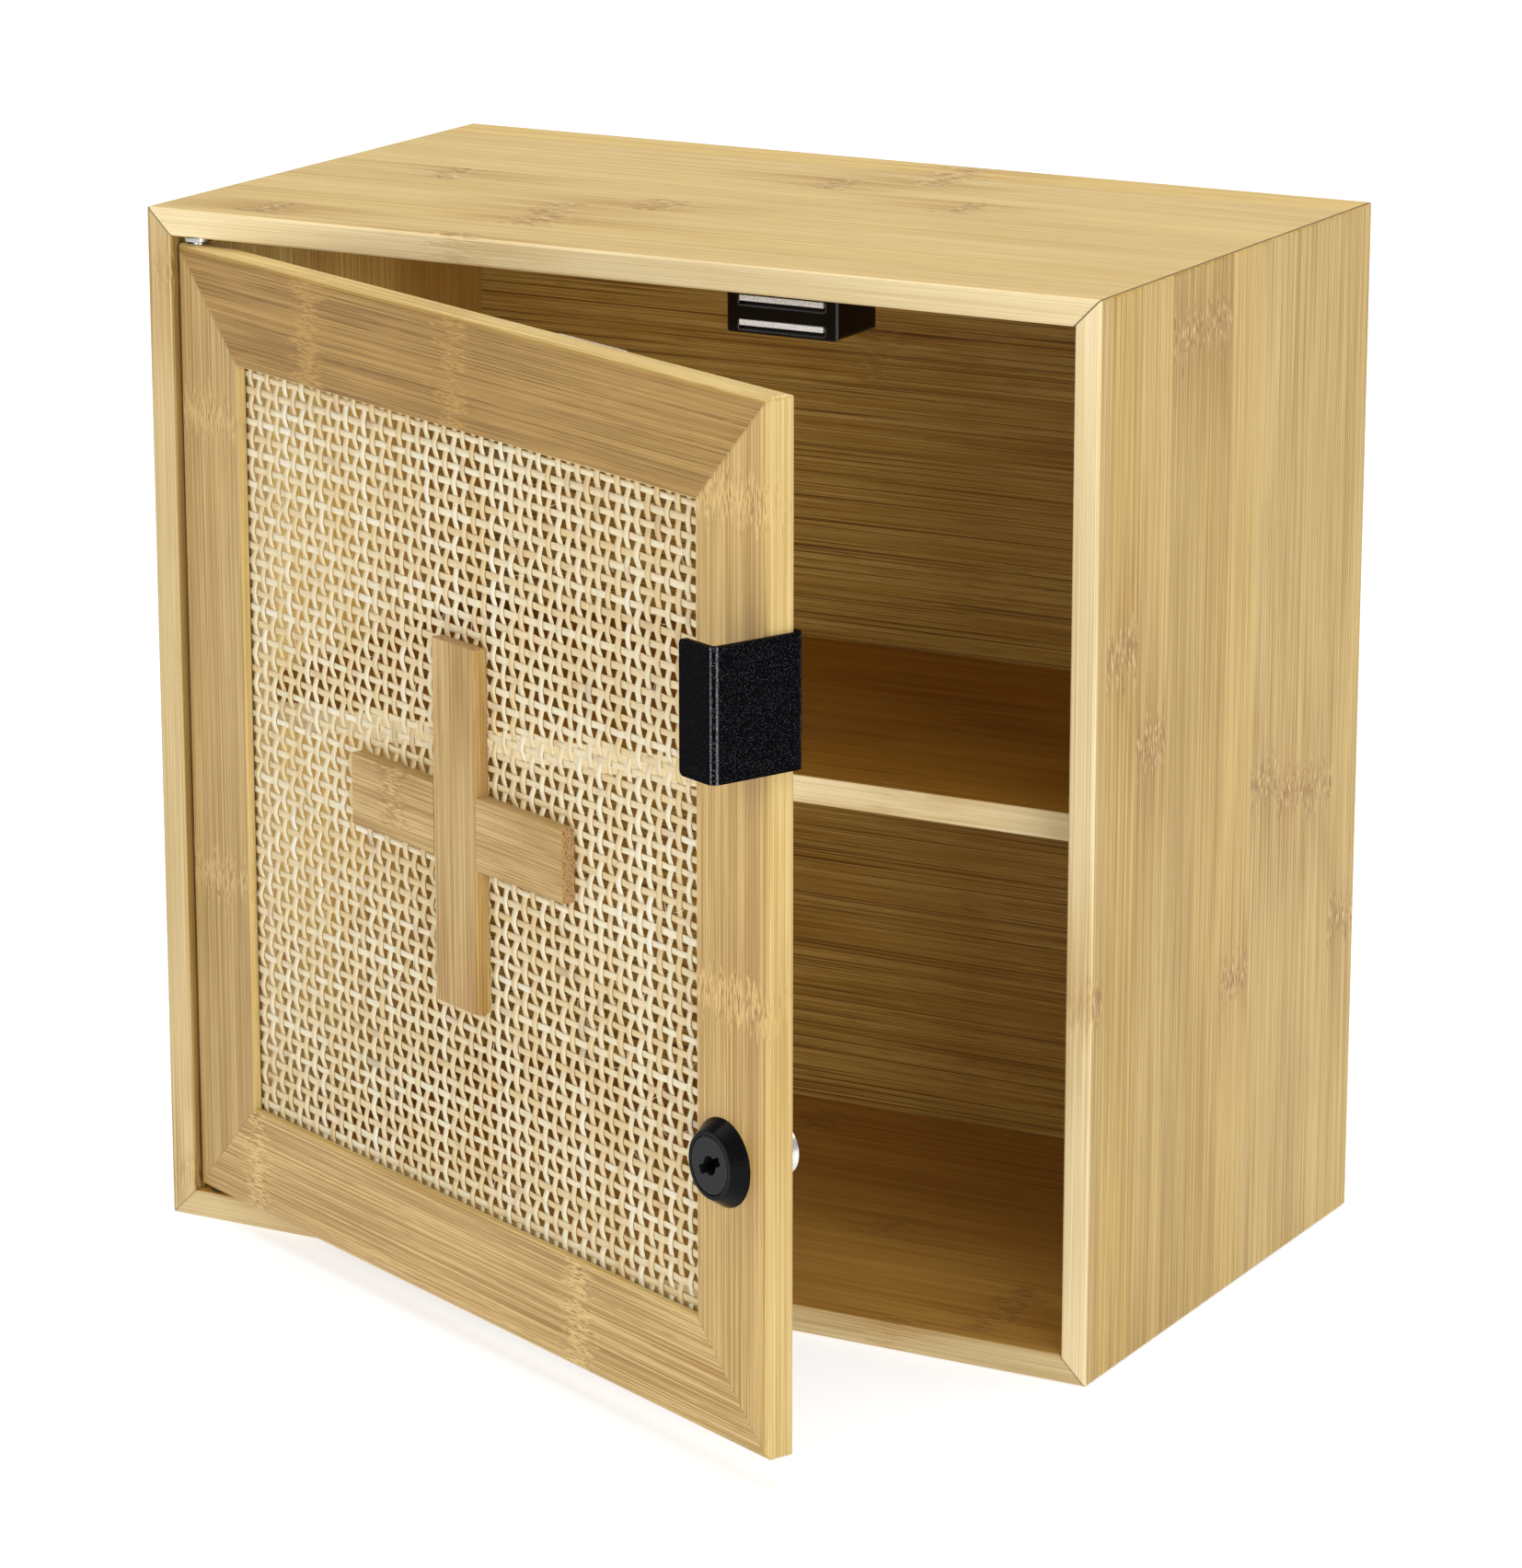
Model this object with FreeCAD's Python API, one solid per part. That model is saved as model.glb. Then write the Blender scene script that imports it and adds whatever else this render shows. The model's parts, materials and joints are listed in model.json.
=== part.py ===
import FreeCAD, Part
import math
import os

# Bamboo medicine cabinet with a framed cane door, a magnetic catch and a cam lock.
# Millimetres, +X right, +Y to the wall, +Z up, origin in the middle of the underside.
# The door is modelled shut and then turned open about its pivot pins.

# Carcass sizes
cabinet_width = 300.0
cabinet_depth = 175.0
cabinet_height = 300.0
board_thickness = 8.0
board_edge_round = 1.2
spline_width = 6.0
spline_thickness = 2.0
spline_end_margin = 22.0
spline_depth_in = 5.0
glue_clearance = 0.03

# Back panel and its wall screw holes
back_thickness = 5.0
back_inset = 3.5
back_groove_depth = 4.0
back_groove_clearance = 0.1
wall_hole_radius = 2.5
wall_hole_spacing = 230.0
wall_hole_drop = 20.0

# Shelf
shelf_thickness = 8.0
shelf_underside = 146.0
shelf_setback = 23.0
shelf_edge_round = 0.8
shelf_dowel_radius = 2.5
shelf_dowel_in_side = 4.5
shelf_dowel_in_shelf = 15.0
shelf_dowel_from_edge = 25.0

# Door frame
door_thickness = 9.0
door_open_angle = 24.0
hinge_side_gap = 1.8
free_side_gap = 4.0
frame_width = 31.0
frame_edge_round = 2.2
frame_window_round = 0.8
frame_corner_round = 1.5
mitre_dowel_radius = 2.0
mitre_dowel_length = 18.0
mitre_dowel_first = 13.0
mitre_dowel_pitch = 10.0
dowels_per_mitre = 2

# Pivot hinges
pivot_inset = 5.0
pin_radius = 2.0
pin_in_board = 5.0
pin_length = 16.0
pin_running_clearance = 0.06
bush_radius = 3.0
bush_length = 10.5
bush_hole_margin = 1.0
upper_washer_radius = 4.4
upper_washer_thickness = 1.1
bare_pin_above_door = 0.9
lower_washer_radius = 3.0
lower_washer_thickness = 1.2
lower_end_play = 0.1

# Cane webbing, its beads and the cross
webbing_recess = 2.5
webbing_thickness = 1.0
webbing_tuck = 2.8
webbing_gap_count = 17
webbing_strand = 6.0
rebate_width = 3.0
bead_clearance = 0.05
cross_height = 102.0
cross_span = 101.0
cross_bar_width = 20.5
cross_thickness = 4.0
cross_edge_round = 0.6

# Sheet metal pull
pull_sheet = 1.5
pull_height = 35.5
pull_below_door_top = 78.3
pull_projection = 18.4
pull_lip = 14.2
pull_back_flange = 16.0
pull_bend_inside = 0.8
pull_corner_round = 1.6
pull_screw_spacing = 18.0
pull_screw_from_edge = 9.0
pull_screw_radius = 1.5
pull_screw_head_radius = 2.8
pull_screw_head_height = 1.8
pull_screw_length = 7.0

# Magnetic catch and its strike plate
catch_width = 34.6
catch_depth = 22.4
catch_height = 12.7
catch_edge_round = 1.4
catch_window_round = 0.8
catch_from_free_edge = 88.7
catch_strike_gap = 0.2
catch_window_width = 27.0
catch_window_height = 3.0
catch_wall = 1.4
pole_width = 25.6
pole_depth = 13.0
pole_thickness = 1.5
pole_proud = 0.4
pole_spacing = 6.7
pole_first_height = 2.9
magnet_width = 24.0
magnet_depth = 9.0
magnet_setback = 2.4
catch_fit_clearance = 0.1
catch_screw_radius = 1.5
catch_screw_head_radius = 2.9
catch_screw_head_height = 2.0
catch_screw_spacing = 20.0
catch_screw_from_rear = 4.6
catch_screw_seat = 6.0
catch_screw_in_board = 6.0
strike_width = 30.0
strike_height = 10.8
strike_thickness = 1.0
strike_below_door_top = 0.7
strike_screw_spacing = 22.0
strike_screw_radius = 1.25
strike_screw_head_radius = 2.3
strike_screw_head_height = 0.9
strike_screw_length = 6.0

# Shares of a screw head that shape its rounded rim and cross recess
pan_head_rounding = 0.6
recess_reach = 0.6
recess_width = 0.14
recess_depth = 0.6

# Cam lock
lock_from_free_edge = 19.5
lock_above_door_bottom = 76.7
rosette_base_radius = 12.0
rosette_face_radius = 9.2
rosette_height = 4.2
barrel_radius = 8.0
barrel_length_behind_face = 17.5
barrel_front_step = 1.6
barrel_hole_clearance = 0.2
lock_thread_clearance = 0.05
lock_nut_across_flats = 20.0
lock_nut_height = 4.0
plug_head_radius = 7.75
plug_radius = 5.5
plug_running_clearance = 0.05
plug_end_play = 0.1
plug_square = 7.0
plug_square_clearance = 0.05
cam_thickness = 2.0
cam_hub_radius = 6.8
cam_arm_half_width = 4.0
cam_tip_round = 1.5
cam_engagement = 3.5
cam_slot_clearance = 1.5
cam_slot_floor_clearance = 0.75
cam_screw_radius = 2.0
cam_screw_length = 9.0
cam_screw_head_radius = 4.0
cam_screw_head_height = 2.2
keyhole_length = 9.4
keyhole_width = 2.4
keyhole_round_radius = 2.6
keyhole_depth = 5.0
keyhole_tilt = 28.0

# Planes that the pieces share, worked out from the sizes above
cabinet_front = -cabinet_depth / 2
cabinet_rear = cabinet_depth / 2
outer_right = cabinet_width / 2
inner_right = outer_right - board_thickness
floor_top = board_thickness
ceiling = cabinet_height - board_thickness
back_rear = cabinet_rear - back_inset
back_front = back_rear - back_thickness

door_front = cabinet_front
door_back = door_front + door_thickness
door_left = -inner_right + hinge_side_gap
door_right = inner_right - free_side_gap
door_bottom = floor_top + lower_washer_thickness + lower_end_play
door_top_gap = upper_washer_thickness + bare_pin_above_door
door_top = ceiling - door_top_gap
window_left = door_left + frame_width
window_right = door_right - frame_width
window_bottom = door_bottom + frame_width
window_top = door_top - frame_width
pivot_x = door_left + pivot_inset
pivot_y = door_front + door_thickness / 2
webbing_front = door_front + webbing_recess
webbing_back = webbing_front + webbing_thickness

Vector = FreeCAD.Vector
ALONG_X = Vector(1, 0, 0)
ALONG_Y = Vector(0, 1, 0)
ALONG_Z = Vector(0, 0, 1)
GRID = 1e-7

os.makedirs("parts", exist_ok=True)


def box(x_low, x_high, y_low, y_high, z_low, z_high):
    """Block between two corners."""
    return Part.makeBox(x_high - x_low, y_high - y_low, z_high - z_low, Vector(x_low, y_low, z_low))


def rod(radius, start, direction, length):
    """Round bar from a start point along a direction."""
    return Part.makeCylinder(radius, length, start, direction)


def ring(outer_radius, inner_radius, start, direction, length):
    """Tube from a start point along a direction."""
    return rod(outer_radius, start, direction, length).cut(rod(inner_radius, start, direction, length))


def rounded_face(corners, place):
    """Face through corners (a, b, radius); place puts a flat point (a, b) in space."""
    spans = []
    for index, (a, b, radius) in enumerate(corners):
        here = Vector(a, b, 0)
        before = corners[index - 1]
        after = corners[(index + 1) % len(corners)]
        back = (Vector(before[0], before[1], 0) - here).normalize()
        ahead = (Vector(after[0], after[1], 0) - here).normalize()
        half_angle = back.getAngle(ahead) / 2
        reach = radius / math.tan(half_angle)
        towards_centre = (back + ahead).normalize()
        middle = here + towards_centre * (radius / math.sin(half_angle) - radius)
        spans.append((here + back * reach, middle, here + ahead * reach, radius))
    edges = []
    for index, (start, middle, end, radius) in enumerate(spans):
        next_start = spans[(index + 1) % len(spans)][0]
        if radius > 0:
            edges.append(Part.Arc(place(start), place(middle), place(end)).toShape())
        if (next_start - end).Length > GRID:
            edges.append(Part.makeLine(place(end), place(next_start)))
    return Part.Face(Part.Wire(edges))


def on_side_view(x):
    """Places flat points (a, b) as (y, z) at one x."""
    return lambda point: Vector(x, point.x, point.y)


def on_front_view(y):
    """Places flat points (a, b) as (x, z) at one y."""
    return lambda point: Vector(point.x, y, point.y)


def on_plan(z):
    """Places flat points (a, b) as (x, y) at one z."""
    return lambda point: Vector(point.x, point.y, z)


def mitred_sides(left, right, bottom, top, width, front, depth):
    """Four trapezium prisms that share the corners of a frame at 45 degrees."""
    outer = [(left, bottom), (right, bottom), (right, top), (left, top)]
    inner = [
        (left + width, bottom + width),
        (right - width, bottom + width),
        (right - width, top - width),
        (left + width, top - width),
    ]
    prisms = []
    for first in range(4):
        second = (first + 1) % 4
        quad = [outer[first], outer[second], inner[second], inner[first]]
        face = rounded_face([(a, b, 0) for a, b in quad], on_front_view(front))
        prisms.append(face.extrude(ALONG_Y * depth))
    return prisms


def cross_recess(top, into, head_radius, head_height):
    """Cross slot that is cut into the top of a screw head."""
    half_length = head_radius * recess_reach
    half_width = head_radius * recess_width
    depth = head_height * recess_depth
    bars = []
    for half_a, half_b in ((half_length, half_width), (half_width, half_length)):
        bars.append(box(-half_a, half_a, -half_b, half_b, 0, depth))
    recess = bars[0].fuse(bars[1])
    recess.Placement = FreeCAD.Placement(top, FreeCAD.Rotation(ALONG_Z, into))
    return recess


def screw(head_radius, head_height, shank_radius, length, seat, into):
    """Pan head screw: the head sits on a seat point and the shank goes into the piece."""
    rim = head_height * pan_head_rounding
    corners = [(0, -head_height, 0), (head_radius, -head_height, rim), (head_radius, 0, 0)]
    corners += [(shank_radius, 0, 0), (shank_radius, length, 0), (0, length, 0)]
    half_section = rounded_face(corners, on_front_view(0))
    body = half_section.revolve(Vector(0, 0, 0), ALONG_Z, 360)
    body.Placement = FreeCAD.Placement(seat, FreeCAD.Rotation(ALONG_Z, into))
    return body.cut(cross_recess(seat - into * head_height, into, head_radius, head_height))


def countersunk_screw(head_radius, head_height, shank_radius, length, face_point, into):
    """Screw whose cone head lies flush with a face."""
    cone = Part.makeCone(head_radius, shank_radius, head_height, face_point, into)
    return cone.fuse(rod(shank_radius, face_point, into, length)).removeSplitter()


def save(name, solids):
    """Writes one node, a single solid or a group of like solids."""
    shape = solids[0] if len(solids) == 1 else Part.makeCompound(solids)
    shape.exportStep("parts/" + name + ".step")


def open_door(shape):
    """Turns a piece of the shut door to the open rest position."""
    turned = shape.copy()
    turned.rotate(Vector(pivot_x, pivot_y, 0), ALONG_Z, -door_open_angle)
    return turned


# Carcass boards: long grain boards with rounded arrises, mitred at the four corners
def carcass_boards():
    outline_corners = [
        (-outer_right, 0, board_edge_round),
        (outer_right, 0, board_edge_round),
        (outer_right, cabinet_height, board_edge_round),
        (-outer_right, cabinet_height, board_edge_round),
    ]
    outline = rounded_face(outline_corners, on_front_view(cabinet_front)).extrude(ALONG_Y * cabinet_depth)

    def edge_section(low, high):
        return [
            (cabinet_front, low, board_edge_round),
            (cabinet_rear, low, board_edge_round),
            (cabinet_rear, high, board_edge_round),
            (cabinet_front, high, board_edge_round),
        ]

    lying = {}
    for name, low, high in (("bottom", 0, floor_top), ("top", ceiling, cabinet_height)):
        section = rounded_face(edge_section(low, high), on_side_view(-outer_right))
        lying[name] = section.extrude(ALONG_X * cabinet_width)
    standing = {}
    for name, low, high in (("right", inner_right, outer_right), ("left", -outer_right, -inner_right)):
        corners = [(b, a, radius) for a, b, radius in edge_section(low, high)]
        standing[name] = rounded_face(corners, on_plan(0)).extrude(ALONG_Z * cabinet_height)
    blanks = [lying["bottom"], standing["right"], lying["top"], standing["left"]]
    prisms = mitred_sides(
        -outer_right, outer_right, 0, cabinet_height, board_thickness, cabinet_front, cabinet_depth
    )
    boards = []
    for blank, prism in zip(blanks, prisms):
        board = blank.common(prism).common(outline)
        boards.append(board.cut(back_panel_slab(back_groove_clearance)))
    return dict(zip(("bottom", "right", "top", "left"), boards))


# Back panel: a loose panel in a groove that runs round the four boards
def back_panel_slab(clearance):
    half_width = inner_right + back_groove_depth - back_groove_clearance + clearance
    low = floor_top - back_groove_depth + back_groove_clearance - clearance
    high = ceiling + back_groove_depth - back_groove_clearance + clearance
    return box(-half_width, half_width, back_front - clearance, back_rear + clearance, low, high)


def back_panel():
    panel = back_panel_slab(0)
    hole_height = ceiling - wall_hole_drop
    for side in (-1, 1):
        start = Vector(side * wall_hole_spacing / 2, back_front, hole_height)
        panel = panel.cut(rod(wall_hole_radius, start, ALONG_Y, back_thickness))
    return panel


# Splines: flat strips across the mitres, stopped short of the front and rear edges
def corner_splines(clearance):
    length = cabinet_depth - 2 * spline_end_margin
    strips = []
    for side_x in (-1, 1):
        for top in (False, True):
            centre_x = side_x * (outer_right - spline_depth_in)
            centre_z = cabinet_height - spline_depth_in if top else spline_depth_in
            half_width = spline_width / 2 + clearance
            half_thickness = spline_thickness / 2 + clearance
            strip = box(
                -half_width,
                half_width,
                cabinet_front + spline_end_margin - clearance,
                cabinet_front + spline_end_margin + length + clearance,
                -half_thickness,
                half_thickness,
            )
            lean = 45 if (side_x > 0) == top else -45
            strip.rotate(Vector(0, 0, 0), ALONG_Y, lean)
            strip.translate(Vector(centre_x, 0, centre_z))
            strips.append(strip)
    return strips


# Shelf: a fixed board held by glued dowels in both side boards
def shelf_board():
    shelf_front = cabinet_front + shelf_setback
    corners = [
        (shelf_front, shelf_underside, shelf_edge_round),
        (back_front, shelf_underside, 0),
        (back_front, shelf_underside + shelf_thickness, 0),
        (shelf_front, shelf_underside + shelf_thickness, shelf_edge_round),
    ]
    return rounded_face(corners, on_side_view(-inner_right)).extrude(ALONG_X * 2 * inner_right)


def shelf_dowels(clearance):
    length = shelf_dowel_in_side + shelf_dowel_in_shelf + 2 * clearance
    height = shelf_underside + shelf_thickness / 2
    rows = (cabinet_front + shelf_setback + shelf_dowel_from_edge, back_front - shelf_dowel_from_edge)
    dowels = []
    for y in rows:
        left_start = Vector(-inner_right - shelf_dowel_in_side - clearance, y, height)
        right_start = Vector(inner_right - shelf_dowel_in_shelf - clearance, y, height)
        for start in (left_start, right_start):
            dowels.append(rod(shelf_dowel_radius + clearance, start, ALONG_X, length))
    return dowels


# Pivot hinges: steel pins fast in the boards, bushes flush in the door's edges and loose washers between,
# of which the lower one carries the door
def hinge_pins(clearance):
    upper_start = Vector(pivot_x, pivot_y, ceiling + pin_in_board + clearance)
    lower_start = Vector(pivot_x, pivot_y, floor_top - pin_in_board - clearance)
    length = pin_length + clearance
    return [
        rod(pin_radius + clearance, upper_start, ALONG_Z * -1, length),
        rod(pin_radius + clearance, lower_start, ALONG_Z, length),
    ]


def upper_washer():
    hole = pin_radius + pin_running_clearance
    start = Vector(pivot_x, pivot_y, ceiling)
    return ring(upper_washer_radius, hole, start, ALONG_Z * -1, upper_washer_thickness)


def lower_washer():
    hole = pin_radius + pin_running_clearance
    start = Vector(pivot_x, pivot_y, floor_top)
    return ring(lower_washer_radius, hole, start, ALONG_Z, lower_washer_thickness)


def hinge_bushes():
    bore = pin_radius + pin_running_clearance
    bushes = []
    for seat, inwards in ((door_top, ALONG_Z * -1), (door_bottom, ALONG_Z)):
        bushes.append(ring(bush_radius, bore, Vector(pivot_x, pivot_y, seat), inwards, bush_length))
    return bushes


def bush_holes():
    holes = []
    for seat, inwards in ((door_top, ALONG_Z * -1), (door_bottom, ALONG_Z)):
        start = Vector(pivot_x, pivot_y, seat)
        holes.append(rod(bush_radius + glue_clearance, start, inwards, bush_length))
        pin_room = pin_radius + pin_running_clearance
        holes.append(rod(pin_room, start, inwards, bush_length + bush_hole_margin))
    return holes


# Magnetic catch: a plastic case with a magnet between two steel pole plates
catch_middle_x = door_right - catch_from_free_edge
pole_front = door_back + strike_thickness + catch_strike_gap
catch_front = pole_front + pole_proud
catch_rear = catch_front + catch_depth
catch_bottom = ceiling - catch_height
pole_heights = [catch_bottom + pole_first_height, catch_bottom + pole_first_height + pole_spacing]


def catch_magnet(clearance):
    half = magnet_width / 2 + clearance
    low = pole_heights[0] + pole_thickness / 2
    high = pole_heights[1] - pole_thickness / 2
    front = catch_front + magnet_setback
    return box(
        catch_middle_x - half,
        catch_middle_x + half,
        front - clearance,
        front + magnet_depth + clearance,
        low - clearance,
        high + clearance,
    )


def catch_pole_plates(clearance):
    half = pole_width / 2 + clearance
    plates = []
    for height in pole_heights:
        plates.append(
            box(
                catch_middle_x - half,
                catch_middle_x + half,
                pole_front - clearance,
                pole_front + pole_depth + clearance,
                height - pole_thickness / 2 - clearance,
                height + pole_thickness / 2 + clearance,
            )
        )
    return plates


def catch_screw_seats():
    y = catch_rear - catch_screw_from_rear
    z = ceiling - catch_screw_seat
    return [Vector(catch_middle_x + side * catch_screw_spacing / 2, y, z) for side in (-1, 1)]


def catch_screws():
    length = catch_screw_seat + catch_screw_in_board
    screws = []
    for seat in catch_screw_seats():
        screws.append(
            screw(catch_screw_head_radius, catch_screw_head_height, catch_screw_radius, length, seat, ALONG_Z)
        )
    return screws


def catch_screw_pilots():
    depth = catch_screw_seat + catch_screw_in_board + glue_clearance
    radius = catch_screw_radius + glue_clearance
    return [rod(radius, seat, ALONG_Z, depth) for seat in catch_screw_seats()]


def catch_body():
    left = catch_middle_x - catch_width / 2
    right = catch_middle_x + catch_width / 2
    front_corners = [
        (left, catch_bottom, catch_edge_round),
        (right, catch_bottom, catch_edge_round),
        (right, ceiling, 0),
        (left, ceiling, 0),
    ]
    plan_corners = [
        (left, catch_front, catch_edge_round),
        (right, catch_front, catch_edge_round),
        (right, catch_rear, catch_edge_round),
        (left, catch_rear, catch_edge_round),
    ]
    body = rounded_face(front_corners, on_front_view(catch_front)).extrude(ALONG_Y * catch_depth)
    body = body.common(rounded_face(plan_corners, on_plan(catch_bottom)).extrude(ALONG_Z * catch_height))
    half = catch_window_width / 2
    for height in pole_heights:
        window_top_edge = height + pole_thickness / 2 + catch_fit_clearance
        window_corners = [
            (catch_middle_x - half, window_top_edge - catch_window_height, catch_window_round),
            (catch_middle_x + half, window_top_edge - catch_window_height, catch_window_round),
            (catch_middle_x + half, window_top_edge, catch_window_round),
            (catch_middle_x - half, window_top_edge, catch_window_round),
        ]
        window = rounded_face(window_corners, on_front_view(catch_front)).extrude(ALONG_Y * catch_wall)
        body = body.cut(window)
    for plate in catch_pole_plates(catch_fit_clearance):
        body = body.cut(plate)
    body = body.cut(catch_magnet(catch_fit_clearance))
    for seat in catch_screw_seats():
        head_room = rod(
            catch_screw_head_radius + catch_fit_clearance,
            seat,
            ALONG_Z * -1,
            seat.z - catch_bottom,
        )
        body = body.cut(head_room)
    for pilot in catch_screw_pilots():
        body = body.cut(pilot)
    return body


# Strike plate: a flat steel plate on the back of the top rail, where the pole plates meet it
strike_top = door_top - strike_below_door_top


def strike_screw_points():
    z = strike_top - strike_height / 2
    y = door_back + strike_thickness
    return [Vector(catch_middle_x + side * strike_screw_spacing / 2, y, z) for side in (-1, 1)]


def strike_screws():
    screws = []
    inwards = ALONG_Y * -1
    for point in strike_screw_points():
        body = countersunk_screw(
            strike_screw_head_radius,
            strike_screw_head_height,
            strike_screw_radius,
            strike_screw_length,
            point,
            inwards,
        )
        recess = cross_recess(point, inwards, strike_screw_head_radius, strike_screw_head_height)
        screws.append(body.cut(recess))
    return screws


def strike_screw_holes():
    holes = []
    for point in strike_screw_points():
        holes.append(
            countersunk_screw(
                strike_screw_head_radius + glue_clearance,
                strike_screw_head_height + glue_clearance,
                strike_screw_radius + glue_clearance,
                strike_screw_length + glue_clearance,
                point,
                ALONG_Y * -1,
            )
        )
    return holes


def strike_plate():
    plate = box(
        catch_middle_x - strike_width / 2,
        catch_middle_x + strike_width / 2,
        door_back,
        door_back + strike_thickness,
        strike_top - strike_height,
        strike_top,
    )
    for hole in strike_screw_holes():
        plate = plate.cut(hole)
    return plate


# Pull: black sheet bent round the free edge, with a finger lip in front and a screwed flange behind
pull_middle = door_top - pull_below_door_top
pull_outer = door_right + pull_sheet
pull_lip_front = door_front - pull_projection
pull_flange_rear = door_back + pull_sheet


def pull_handle():
    inside = pull_bend_inside
    outside = pull_bend_inside + pull_sheet
    corners = [
        (pull_outer - pull_lip, pull_lip_front, 0),
        (pull_outer, pull_lip_front, outside),
        (pull_outer, pull_flange_rear, outside),
        (pull_outer - pull_back_flange, pull_flange_rear, 0),
        (pull_outer - pull_back_flange, door_back, 0),
        (door_right, door_back, inside),
        (door_right, pull_lip_front + pull_sheet, inside),
        (pull_outer - pull_lip, pull_lip_front + pull_sheet, 0),
    ]
    low = pull_middle - pull_height / 2
    strip = rounded_face(corners, on_plan(low)).extrude(ALONG_Z * pull_height)
    strip = strip.common(pull_front_view())
    for hole in pull_screw_holes():
        strip = strip.cut(hole)
    return strip


def pull_front_view():
    """Outline with round corners at the ends of the lip and of the back flange."""
    low = pull_middle - pull_height / 2
    high = pull_middle + pull_height / 2
    halves = []
    lip = (pull_lip, pull_lip_front, door_front)
    flange = (pull_back_flange, door_front, pull_flange_rear)
    for length, start, end in (lip, flange):
        corners = [
            (pull_outer - length, low, pull_corner_round),
            (pull_outer, low, 0),
            (pull_outer, high, 0),
            (pull_outer - length, high, pull_corner_round),
        ]
        halves.append(rounded_face(corners, on_front_view(start)).extrude(ALONG_Y * (end - start)))
    return halves[0].fuse(halves[1])


def pull_screw_points():
    x = door_right - pull_screw_from_edge
    heights = (pull_middle - pull_screw_spacing / 2, pull_middle + pull_screw_spacing / 2)
    return [Vector(x, pull_flange_rear, z) for z in heights]


def pull_screws():
    screws = []
    for point in pull_screw_points():
        screws.append(
            screw(
                pull_screw_head_radius,
                pull_screw_head_height,
                pull_screw_radius,
                pull_screw_length,
                point,
                ALONG_Y * -1,
            )
        )
    return screws


def pull_screw_holes():
    radius = pull_screw_radius + glue_clearance
    length = pull_screw_length + glue_clearance
    return [rod(radius, point, ALONG_Y * -1, length) for point in pull_screw_points()]


# Cam lock: a barrel through the lock stile, a conical rosette in front and a nut behind
lock_x = door_right - lock_from_free_edge
lock_z = door_bottom + lock_above_door_bottom
rosette_front = door_front - rosette_height
barrel_front = door_front - barrel_front_step
barrel_rear = door_front + barrel_length_behind_face
plug_head_rear = barrel_front - plug_end_play
cam_front = barrel_rear + plug_end_play
cam_rear = cam_front + cam_thickness
cam_reach = lock_from_free_edge + free_side_gap + cam_engagement


def on_lock_axis(y):
    """Point of the lock's axis at one depth."""
    return Vector(lock_x, y, lock_z)


def lock_rosette():
    cone = Part.makeCone(
        rosette_base_radius, rosette_face_radius, rosette_height, on_lock_axis(door_front), ALONG_Y * -1
    )
    bore = rod(barrel_radius + lock_thread_clearance, on_lock_axis(rosette_front), ALONG_Y, rosette_height)
    return cone.cut(bore)


def lock_barrel():
    length = barrel_rear - barrel_front
    bore = plug_radius + plug_running_clearance
    return ring(barrel_radius, bore, on_lock_axis(barrel_front), ALONG_Y, length)


def lock_nut():
    corner_radius = lock_nut_across_flats / 2 / math.cos(math.pi / 6)
    corners = []
    for index in range(6):
        turn = index * math.pi / 3
        corners.append((lock_x + corner_radius * math.cos(turn), lock_z + corner_radius * math.sin(turn), 0))
    block = rounded_face(corners, on_front_view(door_back)).extrude(ALONG_Y * lock_nut_height)
    thread = rod(barrel_radius + lock_thread_clearance, on_lock_axis(door_back), ALONG_Y, lock_nut_height)
    return block.cut(thread)


def lock_hole():
    return rod(barrel_radius + barrel_hole_clearance, on_lock_axis(door_front), ALONG_Y, door_thickness)


def square_bar(side, front, length):
    """Square bar on the lock's axis."""
    half = side / 2
    return box(lock_x - half, lock_x + half, front, front + length, lock_z - half, lock_z + half)


def lock_plug():
    head = rod(plug_head_radius, on_lock_axis(rosette_front), ALONG_Y, plug_head_rear - rosette_front)
    shank = rod(plug_radius, on_lock_axis(plug_head_rear), ALONG_Y, cam_front - plug_head_rear)
    plug = head.fuse(shank).fuse(square_bar(plug_square, cam_front, cam_thickness)).removeSplitter()
    half_length = keyhole_length / 2
    half_width = keyhole_width / 2
    slot = box(
        lock_x - half_length,
        lock_x + half_length,
        rosette_front,
        rosette_front + keyhole_depth,
        lock_z - half_width,
        lock_z + half_width,
    )
    keyhole = slot.fuse(rod(keyhole_round_radius, on_lock_axis(rosette_front), ALONG_Y, keyhole_depth))
    keyhole.rotate(on_lock_axis(rosette_front), ALONG_Y, -keyhole_tilt)
    plug = plug.cut(keyhole)
    thread_start = on_lock_axis(cam_rear)
    return plug.cut(rod(cam_screw_radius + glue_clearance, thread_start, ALONG_Y * -1, cam_screw_length))


def lock_cam():
    hub = rod(cam_hub_radius, on_lock_axis(cam_front), ALONG_Y, cam_thickness)
    corners = [
        (lock_x - cam_arm_half_width, lock_z, 0),
        (lock_x - cam_arm_half_width, lock_z - cam_reach, cam_tip_round),
        (lock_x + cam_arm_half_width, lock_z - cam_reach, cam_tip_round),
        (lock_x + cam_arm_half_width, lock_z, 0),
    ]
    arm = rounded_face(corners, on_front_view(cam_front)).extrude(ALONG_Y * cam_thickness)
    cam = hub.fuse(arm).removeSplitter()
    return cam.cut(square_bar(plug_square + 2 * plug_square_clearance, cam_front, cam_thickness))


def lock_cam_screw():
    return screw(
        cam_screw_head_radius,
        cam_screw_head_height,
        cam_screw_radius,
        cam_screw_length,
        on_lock_axis(cam_rear),
        ALONG_Y * -1,
    )


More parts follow.
